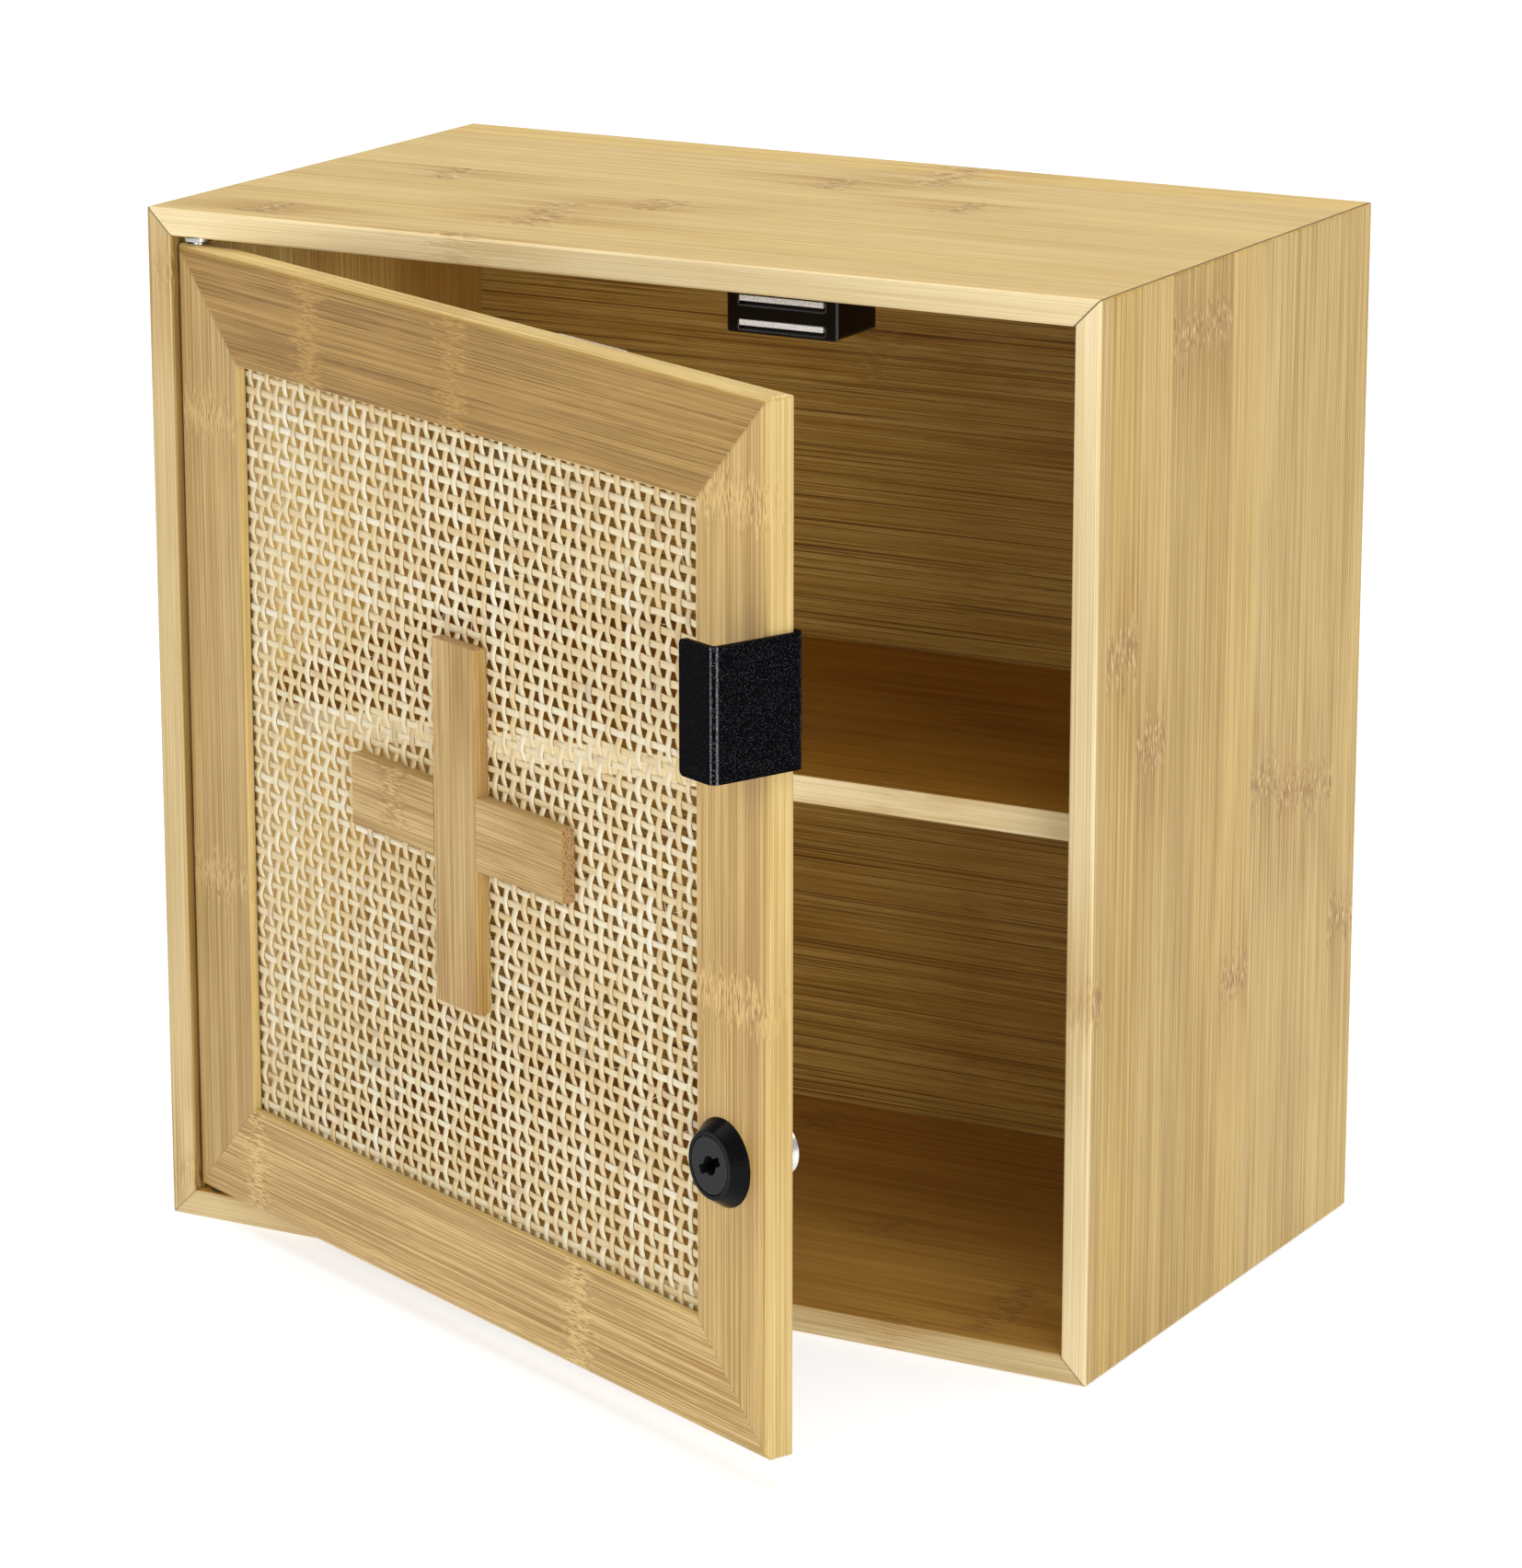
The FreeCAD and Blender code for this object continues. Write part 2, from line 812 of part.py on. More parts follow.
def cam_slot():
    """Mortise in the right side board that the cam turns up into when the door is shut."""
    tip_radius = math.hypot(cam_reach, cam_arm_half_width)
    to_board = inner_right - lock_x
    entry_drop = math.sqrt(tip_radius * tip_radius - to_board * to_board)
    floor_x = lock_x + tip_radius + cam_slot_floor_clearance
    return box(
        inner_right - board_edge_round,
        floor_x,
        cam_front - cam_slot_clearance,
        cam_rear + cam_slot_clearance,
        lock_z - entry_drop - cam_slot_clearance,
        lock_z + cam_arm_half_width + cam_slot_clearance,
    )


# Door frame: four bamboo bars mitred at the corners, with a rebate behind the window
def mitre_dowels(clearance):
    corners = (
        (door_left, door_top, 1, -1),
        (door_right, door_top, -1, -1),
        (door_left, door_bottom, 1, 1),
        (door_right, door_bottom, -1, 1),
    )
    dowels = []
    for x, z, step_x, step_z in corners:
        along = Vector(step_x, 0, -step_z).normalize()
        for index in range(dowels_per_mitre):
            inwards = mitre_dowel_first + index * mitre_dowel_pitch
            centre = Vector(x + step_x * inwards, pivot_y, z + step_z * inwards)
            half = mitre_dowel_length / 2 + clearance
            dowels.append(rod(mitre_dowel_radius + clearance, centre - along * half, along, 2 * half))
    return dowels


def door_frame_bars():
    def bar_section(outer, inner):
        inwards = 1 if inner > outer else -1
        rebate_edge = inner - inwards * rebate_width
        return [
            (door_front, outer, frame_edge_round),
            (door_front, inner, frame_window_round),
            (webbing_front, inner, 0),
            (webbing_front, rebate_edge, 0),
            (door_back, rebate_edge, 0),
            (door_back, outer, frame_edge_round),
        ]

    bottom = rounded_face(bar_section(door_bottom, window_bottom), on_side_view(door_left))
    top = rounded_face(bar_section(door_top, window_top), on_side_view(door_left))
    right_corners = [(b, a, radius) for a, b, radius in bar_section(door_right, window_right)]
    left_corners = [(b, a, radius) for a, b, radius in bar_section(door_left, window_left)]
    right = rounded_face(right_corners, on_plan(door_bottom))
    left = rounded_face(left_corners, on_plan(door_bottom))
    across = ALONG_X * (door_right - door_left)
    upright = ALONG_Z * (door_top - door_bottom)
    blanks = [bottom.extrude(across), right.extrude(upright), top.extrude(across), left.extrude(upright)]
    outline_corners = [
        (door_left, door_bottom, frame_corner_round),
        (door_right, door_bottom, frame_corner_round),
        (door_right, door_top, frame_corner_round),
        (door_left, door_top, frame_corner_round),
    ]
    outline = rounded_face(outline_corners, on_front_view(door_front)).extrude(ALONG_Y * door_thickness)
    prisms = mitred_sides(
        door_left, door_right, door_bottom, door_top, frame_width, door_front, door_thickness
    )
    holes = mitre_dowels(glue_clearance) + bush_holes() + pull_screw_holes() + strike_screw_holes()
    holes.append(lock_hole())
    bars = []
    for blank, prism in zip(blanks, prisms):
        bar = blank.common(prism).common(outline)
        for hole in holes:
            bar = bar.cut(hole)
        bars.append(bar)
    return dict(zip(("bottom", "right", "top", "left"), bars))


# Cane webbing: an open net tucked into the rebate, one strand of the net for a few strips of cane
def cane_webbing():
    left = window_left - webbing_tuck
    right = window_right + webbing_tuck
    bottom = window_bottom - webbing_tuck
    top = window_top + webbing_tuck
    plane = on_front_view(webbing_front)

    def rectangle(low_a, low_b, high_a, high_b):
        corners = [(low_a, low_b), (high_a, low_b), (high_a, high_b), (low_a, high_b), (low_a, low_b)]
        return Part.makePolygon([plane(Vector(a, b, 0)) for a, b in corners])

    strand_room = (webbing_gap_count + 1) * webbing_strand
    gap_width = (window_right - window_left - strand_room) / webbing_gap_count
    gap_height = (window_top - window_bottom - strand_room) / webbing_gap_count
    wires = [rectangle(left, bottom, right, top)]
    for column in range(webbing_gap_count):
        a = window_left + webbing_strand + column * (gap_width + webbing_strand)
        for row in range(webbing_gap_count):
            b = window_bottom + webbing_strand + row * (gap_height + webbing_strand)
            wires.append(rectangle(a, b, a + gap_width, b + gap_height))
    return Part.makeFace(wires, "Part::FaceMakerBullseye").extrude(ALONG_Y * webbing_thickness)


# Beads: thin bamboo strips behind the webbing, flush with the back of the door
def webbing_beads():
    outer_left = window_left - rebate_width + bead_clearance
    outer_right_edge = window_right + rebate_width - bead_clearance
    outer_bottom = window_bottom - rebate_width + bead_clearance
    outer_top = window_top + rebate_width - bead_clearance
    return {
        "bottom": box(outer_left, outer_right_edge, webbing_back, door_back, outer_bottom, window_bottom),
        "top": box(outer_left, outer_right_edge, webbing_back, door_back, window_top, outer_top),
        "left": box(outer_left, window_left, webbing_back, door_back, window_bottom, window_top),
        "right": box(window_right, outer_right_edge, webbing_back, door_back, window_bottom, window_top),
    }


# Cross: an upright and two butted arms glued to the front of the webbing
def cross_pieces():
    middle_x = (window_left + window_right) / 2
    middle_z = (window_bottom + window_top) / 2
    half_bar = cross_bar_width / 2
    cross_front = webbing_front - cross_thickness

    def upright():
        corners = [
            (middle_x - half_bar, cross_front, cross_edge_round),
            (middle_x + half_bar, cross_front, cross_edge_round),
            (middle_x + half_bar, webbing_front, 0),
            (middle_x - half_bar, webbing_front, 0),
        ]
        low = middle_z - cross_height / 2
        return rounded_face(corners, on_plan(low)).extrude(ALONG_Z * cross_height)

    def arm(start_x):
        corners = [
            (cross_front, middle_z - half_bar, cross_edge_round),
            (webbing_front, middle_z - half_bar, 0),
            (webbing_front, middle_z + half_bar, 0),
            (cross_front, middle_z + half_bar, cross_edge_round),
        ]
        length = cross_span / 2 - half_bar
        return rounded_face(corners, on_side_view(start_x)).extrude(ALONG_X * length)

    left_arm = arm(middle_x - cross_span / 2)
    right_arm = arm(middle_x + half_bar)
    return {"upright": upright(), "left_arm": left_arm, "right_arm": right_arm}


# Carcass pieces are cut for what they hold and written at once
boards = carcass_boards()
for spline in corner_splines(glue_clearance):
    for name in boards:
        boards[name] = boards[name].cut(spline)
for dowel in shelf_dowels(glue_clearance):
    boards["left"] = boards["left"].cut(dowel)
    boards["right"] = boards["right"].cut(dowel)
upper_pin_hole, lower_pin_hole = hinge_pins(glue_clearance)
boards["top"] = boards["top"].cut(upper_pin_hole)
boards["bottom"] = boards["bottom"].cut(lower_pin_hole)
for pilot in catch_screw_pilots():
    boards["top"] = boards["top"].cut(pilot)
boards["right"] = boards["right"].cut(cam_slot())
shelf = shelf_board()
for dowel in shelf_dowels(glue_clearance):
    shelf = shelf.cut(dowel)

save("top_panel", [boards["top"]])
save("bottom_panel", [boards["bottom"]])
save("left_side_panel", [boards["left"]])
save("right_side_panel", [boards["right"]])
save("corner_splines", corner_splines(0))
save("back_panel", [back_panel()])
save("shelf", [shelf])
save("shelf_dowels", shelf_dowels(0))
save("catch_body", [catch_body()])
save("catch_magnet", [catch_magnet(0)])
save("catch_pole_plates", catch_pole_plates(0))
save("catch_screws", catch_screws())
save("hinge_pins", hinge_pins(0))
save("upper_washer", [upper_washer()])
save("lower_washer", [lower_washer()])

# Door and lock pieces are turned to the open rest position and written
bars = door_frame_bars()
beads = webbing_beads()
cross = cross_pieces()
door_nodes = {
    "door_top_rail": [bars["top"]],
    "door_bottom_rail": [bars["bottom"]],
    "door_hinge_stile": [bars["left"]],
    "door_lock_stile": [bars["right"]],
    "door_mitre_dowels": mitre_dowels(0),
    "hinge_bushes": hinge_bushes(),
    "cane_webbing": [cane_webbing()],
    "webbing_bead_top": [beads["top"]],
    "webbing_bead_bottom": [beads["bottom"]],
    "webbing_bead_left": [beads["left"]],
    "webbing_bead_right": [beads["right"]],
    "cross_upright": [cross["upright"]],
    "cross_left_arm": [cross["left_arm"]],
    "cross_right_arm": [cross["right_arm"]],
    "pull_handle": [pull_handle()],
    "pull_screws": pull_screws(),
    "strike_plate": [strike_plate()],
    "strike_screws": strike_screws(),
    "lock_rosette": [lock_rosette()],
    "lock_barrel": [lock_barrel()],
    "lock_nut": [lock_nut()],
    "lock_plug": [lock_plug()],
    "lock_cam": [lock_cam()],
    "lock_cam_screw": [lock_cam_screw()],
}
for name, solids in door_nodes.items():
    save(name, [open_door(solid) for solid in solids])
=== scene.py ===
import json
import math
import random

import bmesh
import bpy
from mathutils import Matrix, Vector


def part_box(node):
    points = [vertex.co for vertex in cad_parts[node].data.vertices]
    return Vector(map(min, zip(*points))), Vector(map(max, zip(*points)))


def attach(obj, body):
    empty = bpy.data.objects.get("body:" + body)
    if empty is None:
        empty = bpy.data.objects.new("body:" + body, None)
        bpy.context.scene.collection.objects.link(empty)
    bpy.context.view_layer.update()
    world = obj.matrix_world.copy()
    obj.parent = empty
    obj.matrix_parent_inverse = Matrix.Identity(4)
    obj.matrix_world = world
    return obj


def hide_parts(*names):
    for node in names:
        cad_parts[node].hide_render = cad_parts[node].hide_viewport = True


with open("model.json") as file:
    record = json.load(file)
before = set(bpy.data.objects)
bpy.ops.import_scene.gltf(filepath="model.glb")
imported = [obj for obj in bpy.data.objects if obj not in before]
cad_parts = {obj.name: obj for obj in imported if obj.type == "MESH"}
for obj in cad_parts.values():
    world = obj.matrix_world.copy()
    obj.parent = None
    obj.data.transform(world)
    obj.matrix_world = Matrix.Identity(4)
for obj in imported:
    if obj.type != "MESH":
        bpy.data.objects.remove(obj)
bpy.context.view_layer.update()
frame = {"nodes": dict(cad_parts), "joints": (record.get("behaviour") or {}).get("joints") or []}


# Carcass boards: four laminated bamboo boards, mitred and glued at the corners. Each is pressed from
# strips about 19 mm wide, so the colour steps from strip to strip, the grain runs along the board and
# every strip shows a ragged knot where the bamboo stem had a joint. Clear satin lacquer.
MM_PER_M = 1000.0


class Finish:
    """A finish in the making: it works in millimetres, and each method adds a node and gives its output."""

    def __init__(self, name, turn=0.0, centre=(0.0, 0.0)):
        self.material = bpy.data.materials.new(name)
        self.material.use_nodes = True
        self.nodes = self.material.node_tree.nodes
        self.links = self.material.node_tree.links
        self.shader = self.nodes["Principled BSDF"]
        self.coordinate = self.add("ShaderNodeTexCoord")
        middle = Vector((*centre, 0.0)) * MM_PER_M
        mapping = self.add("ShaderNodeMapping")
        mapping.inputs["Scale"].default_value = (MM_PER_M, MM_PER_M, MM_PER_M)
        mapping.inputs["Rotation"].default_value = (0, 0, turn)
        mapping.inputs["Location"].default_value = middle - Matrix.Rotation(turn, 3, "Z") @ middle
        self.links.new(self.coordinate.outputs["Object"], mapping.inputs["Vector"])
        self.place = mapping.outputs["Vector"]

    def add(self, kind, **settings):
        node = self.nodes.new(kind)
        for name, value in settings.items():
            setattr(node, name, value)
        return node

    def feed(self, socket, value):
        if isinstance(value, bpy.types.NodeSocket):
            self.links.new(value, socket)
        elif isinstance(value, tuple) and socket.type == "RGBA":
            socket.default_value = (*value, 1.0)
        else:
            socket.default_value = value

    def math(self, operation, first, *others):
        """One operation on a value alone, or on several values from left to right."""
        result = first
        for other in others or (0.0,):
            node = self.add("ShaderNodeMath", operation=operation)
            self.feed(node.inputs[0], result)
            self.feed(node.inputs[1], other)
            result = node.outputs[0]
        return result

    def about(self, value, middle, strength):
        """How far a value lies above its middle, times a strength."""
        return self.math("MULTIPLY", self.math("SUBTRACT", value, middle), strength)

    def apart(self, value, place):
        """How far a value lies from a place, either way."""
        return self.math("ABSOLUTE", self.math("SUBTRACT", value, place))

    def step(self, value, low, high, start=0.0, end=1.0):
        """Smooth step from start to end as the value goes from low to high."""
        node = self.add("ShaderNodeMapRange", interpolation_type="SMOOTHSTEP")
        for index, number in enumerate((value, low, high, start, end)):
            self.feed(node.inputs[index], number)
        return node.outputs[0]

    def split(self, vector):
        node = self.add("ShaderNodeSeparateXYZ")
        self.links.new(vector, node.inputs[0])
        return dict(zip("xyz", node.outputs))

    def join(self, x, y, z):
        node = self.add("ShaderNodeCombineXYZ")
        for index, value in enumerate((x, y, z)):
            self.feed(node.inputs[index], value)
        return node.outputs[0]

    def grains(self, vector, sizes, detail=2.0, roughness=0.5):
        """Noise whose grains have these sizes along the three directions."""
        scaled = self.add("ShaderNodeVectorMath", operation="DIVIDE")
        self.links.new(vector, scaled.inputs[0])
        scaled.inputs[1].default_value = sizes
        node = self.add("ShaderNodeTexNoise")
        node.inputs["Scale"].default_value = 1.0
        node.inputs["Detail"].default_value = detail
        node.inputs["Roughness"].default_value = roughness
        self.links.new(scaled.outputs[0], node.inputs["Vector"])
        return node.outputs[0]

    def chance(self, number, seed):
        """One random number from 0 to 1 for each whole number."""
        node = self.add("ShaderNodeTexWhiteNoise", noise_dimensions="2D")
        self.links.new(self.join(number, seed + 0.5, 0.0), node.inputs["Vector"])
        return node.outputs["Value"]

    def tint(self, share, first, second, kind="MIX"):
        node = self.add("ShaderNodeMix", data_type="RGBA", blend_type=kind)
        self.feed(node.inputs[0], share)
        self.feed(node.inputs[6], first)
        self.feed(node.inputs[7], second)
        return node.outputs[2]

    def facing(self, way):
        """How squarely the surface faces along a direction, either way."""
        dot = self.add("ShaderNodeVectorMath", operation="DOT_PRODUCT")
        self.links.new(self.coordinate.outputs["Normal"], dot.inputs[0])
        dot.inputs[1].default_value = way
        return self.math("ABSOLUTE", dot.outputs["Value"])

    def relief(self, height, depth, soft_edge=0.0):
        """Bump of a depth in metres, over edges eased by a small radius in metres."""
        bump = self.add("ShaderNodeBump")
        bump.inputs["Strength"].default_value = 1.0
        bump.inputs["Distance"].default_value = depth
        self.links.new(height, bump.inputs["Height"])
        if soft_edge:
            ease = self.add("ShaderNodeBevel", samples=4)
            ease.inputs["Radius"].default_value = soft_edge
            self.links.new(ease.outputs[0], bump.inputs["Normal"])
        self.links.new(bump.outputs[0], self.shader.inputs["Normal"])

    def set(self, **values):
        """Shader sockets by name, with _ for a space."""
        for name, value in values.items():
            self.feed(self.shader.inputs[name.replace("_", " ")], value)


def dress(finish, *names):
    """Puts a finish on CAD nodes that stay as they are."""
    for name in names:
        frame["nodes"][name].material_slots[0].material = finish.material


BAMBOO_BROWN = (0.29, 0.145, 0.038)
LINE_BROWN = (0.36, 0.195, 0.05)
SMUDGE = (0.73, 0.61, 0.44)
WARM = (0.99, 0.92, 0.66)
GLUE_LINE = (0.07, 0.032, 0.01)
END_GRAIN_PALE = (0.44, 0.27, 0.11)
END_GRAIN_DOT = (0.15, 0.075, 0.025)
PORES_PER_MM = 1.7
PATTERN_START = 1000.0
PATTERN_SHIFT = 37.0
SEAM_SHIFT = 0.31
STRIP_DEPTH = 400.0
# Painted shade: the darker inner colours of the side boards deepen from the front towards the back.
SIDE_SHADE_DEEPENS = (-40.0, 60.0)
MARK_EDGE = (0.56, 0.66)
SEAM_EDGE = (0.08, 0.3)
GLUE_EDGE = (0.15, 0.5)
KNOT_EDGE = (1.0, 8.0)
KNOT_TEAR = 34.0
KNOT_COVER = 0.85
FLECK_BRIGHT = 1.12
SMUDGE_REACH = (2.0, 50.0)
GRAIN_RELIEF = 0.00006


def bamboo(
    name,
    grain,
    across,
    seed,
    tones,
    strip=20.0,
    first_seam=None,
    strip_looks=(),
    contrast=1.0,
    dashes=0.25,
    lines=0.4,
    line_length=400.0,
    mark=LINE_BROWN,
    seams=0.3,
    warmth=0.5,
    knots=0.95,
    knot_pale=0.54,
    knot_every=270.0,
    smudge=0.85,
    knot_places=(),
    hinge=(),
    mitre=None,
    glue=0.8,
    inner_shade=None,
    edge=None,
    end_grain=None,
    sheen=0.3,
):
    """Pressed bamboo with its grain along one axis and its strips side by side along another.

    Sizes are in millimetres. strip_looks gives each strip the place of its knot and its warmth. inner is
    painted shade: an axis, where the darker interior colours start and end on it, and those colours. edge
    is painted light: a direction and the paler colours of faces turned that way. mitre is the middle of
    the frame and how much its half width exceeds its half height. hinge is the angle and the pivot that
    turn the pattern with the door.
    """
    finish = Finish(name, *hinge)
    side = finish.split(finish.place)
    through = ({"x", "y", "z"} - {grain, across}).pop()
    strip_start = SEAM_SHIFT * seed if first_seam is None else -first_seam / strip
    strip_place = finish.math("ADD", finish.math("DIVIDE", side[across], strip), strip_start)
    strip_number = finish.math("FLOOR", strip_place)
    strip_tone = finish.chance(strip_number, seed)
    length = finish.math("ADD", side[grain], PATTERN_START + PATTERN_SHIFT * seed)
    depth = finish.math("ADD", side[through], finish.math("MULTIPLY", strip_tone, STRIP_DEPTH))
    lay = finish.join(length, side[across], depth)

    hair = finish.grains(lay, (90.0, 0.36, 0.36))
    streak = finish.grains(lay, (200.0, 1.0, 1.0))
    stain = finish.grains(lay, (60.0, 7.0, 7.0), detail=3.0)
    broad = finish.grains(lay, (280.0, 4.5, 4.5))
    cloud = finish.grains(lay, (65.0, 14.0, 14.0), detail=3.0)
    tone = 0.5
    for pattern, strength in ((strip_tone, 0.2), (hair, 2.1), (streak, 0.4), (broad, 0.45), (cloud, 0.65)):
        tone = finish.math("ADD", tone, finish.about(pattern, 0.5, strength * contrast))
    share = finish.step(tone, 0.0, 1.0)
    pale, deep = tones
    colour = finish.tint(share, deep, pale)
    if strip_looks:
        strip_knot = 0.0
        strip_warmth = 0.0
        for number, (knot_place, own_warmth) in enumerate(strip_looks, start=-1):
            here = finish.math("COMPARE", strip_number, number)
            strip_knot = finish.math("ADD", strip_knot, finish.math("MULTIPLY", here, knot_place))
            strip_warmth = finish.math("ADD", strip_warmth, finish.math("MULTIPLY", here, own_warmth))
    else:
        strip_warmth = finish.step(finish.chance(strip_number, seed + 80), 0.3, 1.0, 0.0, warmth)
    colour = finish.tint(strip_warmth, colour, WARM, "MULTIPLY")
    # Painted shade: the inner faces take darker, deeper colours, as shade of the closed interior.
    if inner_shade:
        inner_axis, inner_start, inner_end, inner_shade_pale, inner_shade_deep = inner_shade
        inside = finish.step(side[inner_axis], inner_start, inner_end)
        if inner_axis == "x":
            inside = finish.math("MULTIPLY", inside, finish.step(side["y"], *SIDE_SHADE_DEEPENS))
        colour = finish.tint(inside, colour, finish.tint(share, inner_shade_deep, inner_shade_pale))
    mark_share = 1.0
    # Painted light: faces turned along the given direction take paler colours and carry fewer grain marks.
    if edge:
        highlight_way, highlight_pale, highlight_deep = edge
        turned = finish.step(finish.facing(highlight_way), 0.3, 0.75)
        colour = finish.tint(turned, colour, finish.tint(share, highlight_deep, highlight_pale))
        mark_share = finish.math("SUBTRACT", 1.0, finish.math("MULTIPLY", turned, 0.7))

    dash = finish.grains(lay, (14.0, 0.42, 0.42), detail=1.0)
    line = finish.grains(lay, (line_length, 0.55, 0.55), detail=1.0)
    crowd = finish.step(cloud, 0.35, 0.6, 0.35, 1.0)
    marks = finish.math("MULTIPLY", finish.step(dash, *MARK_EDGE), dashes, crowd)
    marks = finish.math("MAXIMUM", marks, finish.math("MULTIPLY", finish.step(line, *MARK_EDGE), lines))
    from_middle = finish.apart(finish.math("FRACT", strip_place), 0.5)
    from_seam = finish.math("MULTIPLY", finish.math("SUBTRACT", 0.5, from_middle), strip)
    marks = finish.math("MAXIMUM", marks, finish.step(from_seam, *SEAM_EDGE, seams, 0.0))
    colour = finish.tint(finish.math("MULTIPLY", marks, mark_share), colour, mark)

    if knot_places:
        from_knot = finish.apart(side[grain], knot_places[0])
        for knot_place in knot_places[1:]:
            from_knot = finish.math("MINIMUM", from_knot, finish.apart(side[grain], knot_place))
    elif strip_looks:
        from_knot = finish.apart(side[grain], strip_knot)
    else:
        strip_shift = finish.chance(strip_number, seed + 40)
        ring = finish.math("ADD", length, finish.math("MULTIPLY", strip_shift, knot_every))
        from_knot = finish.apart(finish.math("MODULO", ring, knot_every), knot_every / 2)
    ragged = finish.grains(lay, (9.0, 1.3, 1.3), detail=3.0)
    torn = finish.math("ADD", from_knot, finish.about(ragged, 0.5, KNOT_TEAR))
    knot = finish.math("MULTIPLY", finish.step(torn, *KNOT_EDGE, 1.0, 0.0), knots)
    shade = finish.math(
        "MULTIPLY",
        finish.step(from_knot, *SMUDGE_REACH, smudge, 0.0),
        finish.step(stain, 0.4, 0.58, 0.1, 1.0),
        finish.step(hair, 0.66, 0.42, 0.35, 1.0),
    )
    colour = finish.tint(shade, colour, SMUDGE, "MULTIPLY")
    fleck = finish.grains(lay, (3.6, 0.48, 0.48), detail=2.0)
    fleck_pale = tuple(min(1.0, FLECK_BRIGHT * channel) for channel in pale)
    # Knot flecks on the inner faces take the painted shade colour too.
    if inner_shade:
        fleck_pale = finish.tint(inside, fleck_pale, inner_shade_pale)
    torn_fibre = finish.tint(finish.step(fleck, knot_pale - 0.07, knot_pale + 0.08), BAMBOO_BROWN, fleck_pale)
    colour = finish.tint(finish.math("MULTIPLY", knot, KNOT_COVER, mark_share), colour, torn_fibre)

    if end_grain:
        end = finish.step(finish.facing(end_grain), 0.7, 0.9)
        pores = finish.add("ShaderNodeTexVoronoi")
        pores.inputs["Scale"].default_value = PORES_PER_MM
        finish.links.new(finish.join(side[across], side[through], 0.0), pores.inputs["Vector"])
        dotted = finish.tint(finish.step(pores.outputs["Distance"], 0.2, 0.5), END_GRAIN_DOT, END_GRAIN_PALE)
        colour = finish.tint(end, colour, dotted)
    if mitre:
        middle_x, middle_z, wider = mitre
        reach_x = finish.apart(side["x"], middle_x)
        reach_z = finish.apart(side["z"], middle_z)
        off_mitre = finish.apart(finish.math("SUBTRACT", reach_x, reach_z), wider)
        colour = finish.tint(finish.step(off_mitre, *GLUE_EDGE, glue, 0.0), colour, GLUE_LINE)

    rough = finish.step(hair, 0.3, 0.7, 0.52, 0.4)
    finish.set(Base_Color=colour, Roughness=rough, Specular_IOR_Level=sheen)
    height = finish.math("ADD", hair, finish.math("MULTIPLY", knot, fleck, 1.5))
    finish.relief(height, GRAIN_RELIEF)
    return finish


_, top_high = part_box("top_panel")
cabinet_middle_z = top_high.z / 2 * MM_PER_M
carcass_mitre = (0.0, cabinet_middle_z, top_high.x * MM_PER_M - cabinet_middle_z)
top_tones = (0.73, 0.56, 0.262), (0.53, 0.37, 0.137)
side_tones = (0.62, 0.45, 0.172), (0.38, 0.242, 0.066)
# Painted shade: darker, deeper colours for the inner faces of the carcass boards.
inner_shade_tones = (0.60, 0.355, 0.082), (0.41, 0.205, 0.034)
# Painted light: paler colours on the front edges, stronger on the top and right boards than on the bottom and
# left.
front_highlight_strong = (0.85, 0.71, 0.43), (0.69, 0.535, 0.275)
front_highlight_weak = (0.66, 0.515, 0.27), (0.50, 0.365, 0.16)
upward = (0.0, 0.0, 1.0)
outward = (0.0, 1.0, 0.0)
strip_width = 18.75
first_seam = -81.25
top_strips = (
    (-49.0, 0.2),
    (-117.5, 0.25),
    (-42.0, 0.35),
    (-46.0, 0.2),
    (-25.0, 0.3),
    (-104.0, 0.1),
    (54.0, 0.3),
    (2.5, 0.15),
    (26.0, 0.1),
    (24.0, 0.7),
)
right_strips = (
    (109.0, 0.1),
    (202.0, 0.75),
    (173.0, 0.35),
    (282.0, 0.25),
    (282.0, 0.5),
    (92.0, 0.5),
    (145.0, 0.1),
    (137.5, 0.2),
    (135.5, 0.15),
    (92.0, 0.3),
)
board_looks = {
    "top_panel": ("x", "z", -1.0, 3, top_tones, front_highlight_strong, 0.8, 0.8, top_strips),
    "bottom_panel": ("x", "z", 1.0, 11, side_tones, front_highlight_weak, 1.2, 0.45, ()),
    "left_side_panel": ("z", "x", 1.0, 5, side_tones, front_highlight_weak, 1.3, 0.6, ()),
    "right_side_panel": ("z", "x", -1.0, 8, side_tones, front_highlight_strong, 1.3, 0.9, right_strips),
}
for board, board_look in board_looks.items():
    board_grain, face_axis, inward, seed, tones, front, contrast, glue, strip_looks = board_look
    low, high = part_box(board)
    axis_number = "xyz".index(face_axis)
    board_middle = (low[axis_number] + high[axis_number]) / 2 * MM_PER_M
    board_finish = bamboo(
        board,
        board_grain,
        "y",
        seed,
        tones,
        strip=strip_width,
        first_seam=first_seam,
        strip_looks=strip_looks,
        contrast=contrast,
        seams=0.2,
        mitre=carcass_mitre,
        glue=glue,
        inner_shade=(face_axis, board_middle - inward, board_middle + inward, *inner_shade_tones),
        edge=(outward, *front),
    )
    dress(board_finish, board)


# Splines and dowels: thin beech strips in the corner mitres and short beech dowels in the shelf ends and
# the door's mitres. They are glued in and hidden when the cabinet is whole.
beech = Finish("beech_joinery")
pores = beech.grains(beech.place, (3.0, 0.4, 3.0))
beech_tone = beech.tint(beech.step(pores, 0.35, 0.65), (0.52, 0.36, 0.2), (0.68, 0.52, 0.33))
beech.set(Base_Color=beech_tone, Roughness=0.65)
beech.relief(pores, 0.00005)
dress(beech, "corner_splines", "shelf_dowels", "door_mitre_dowels")


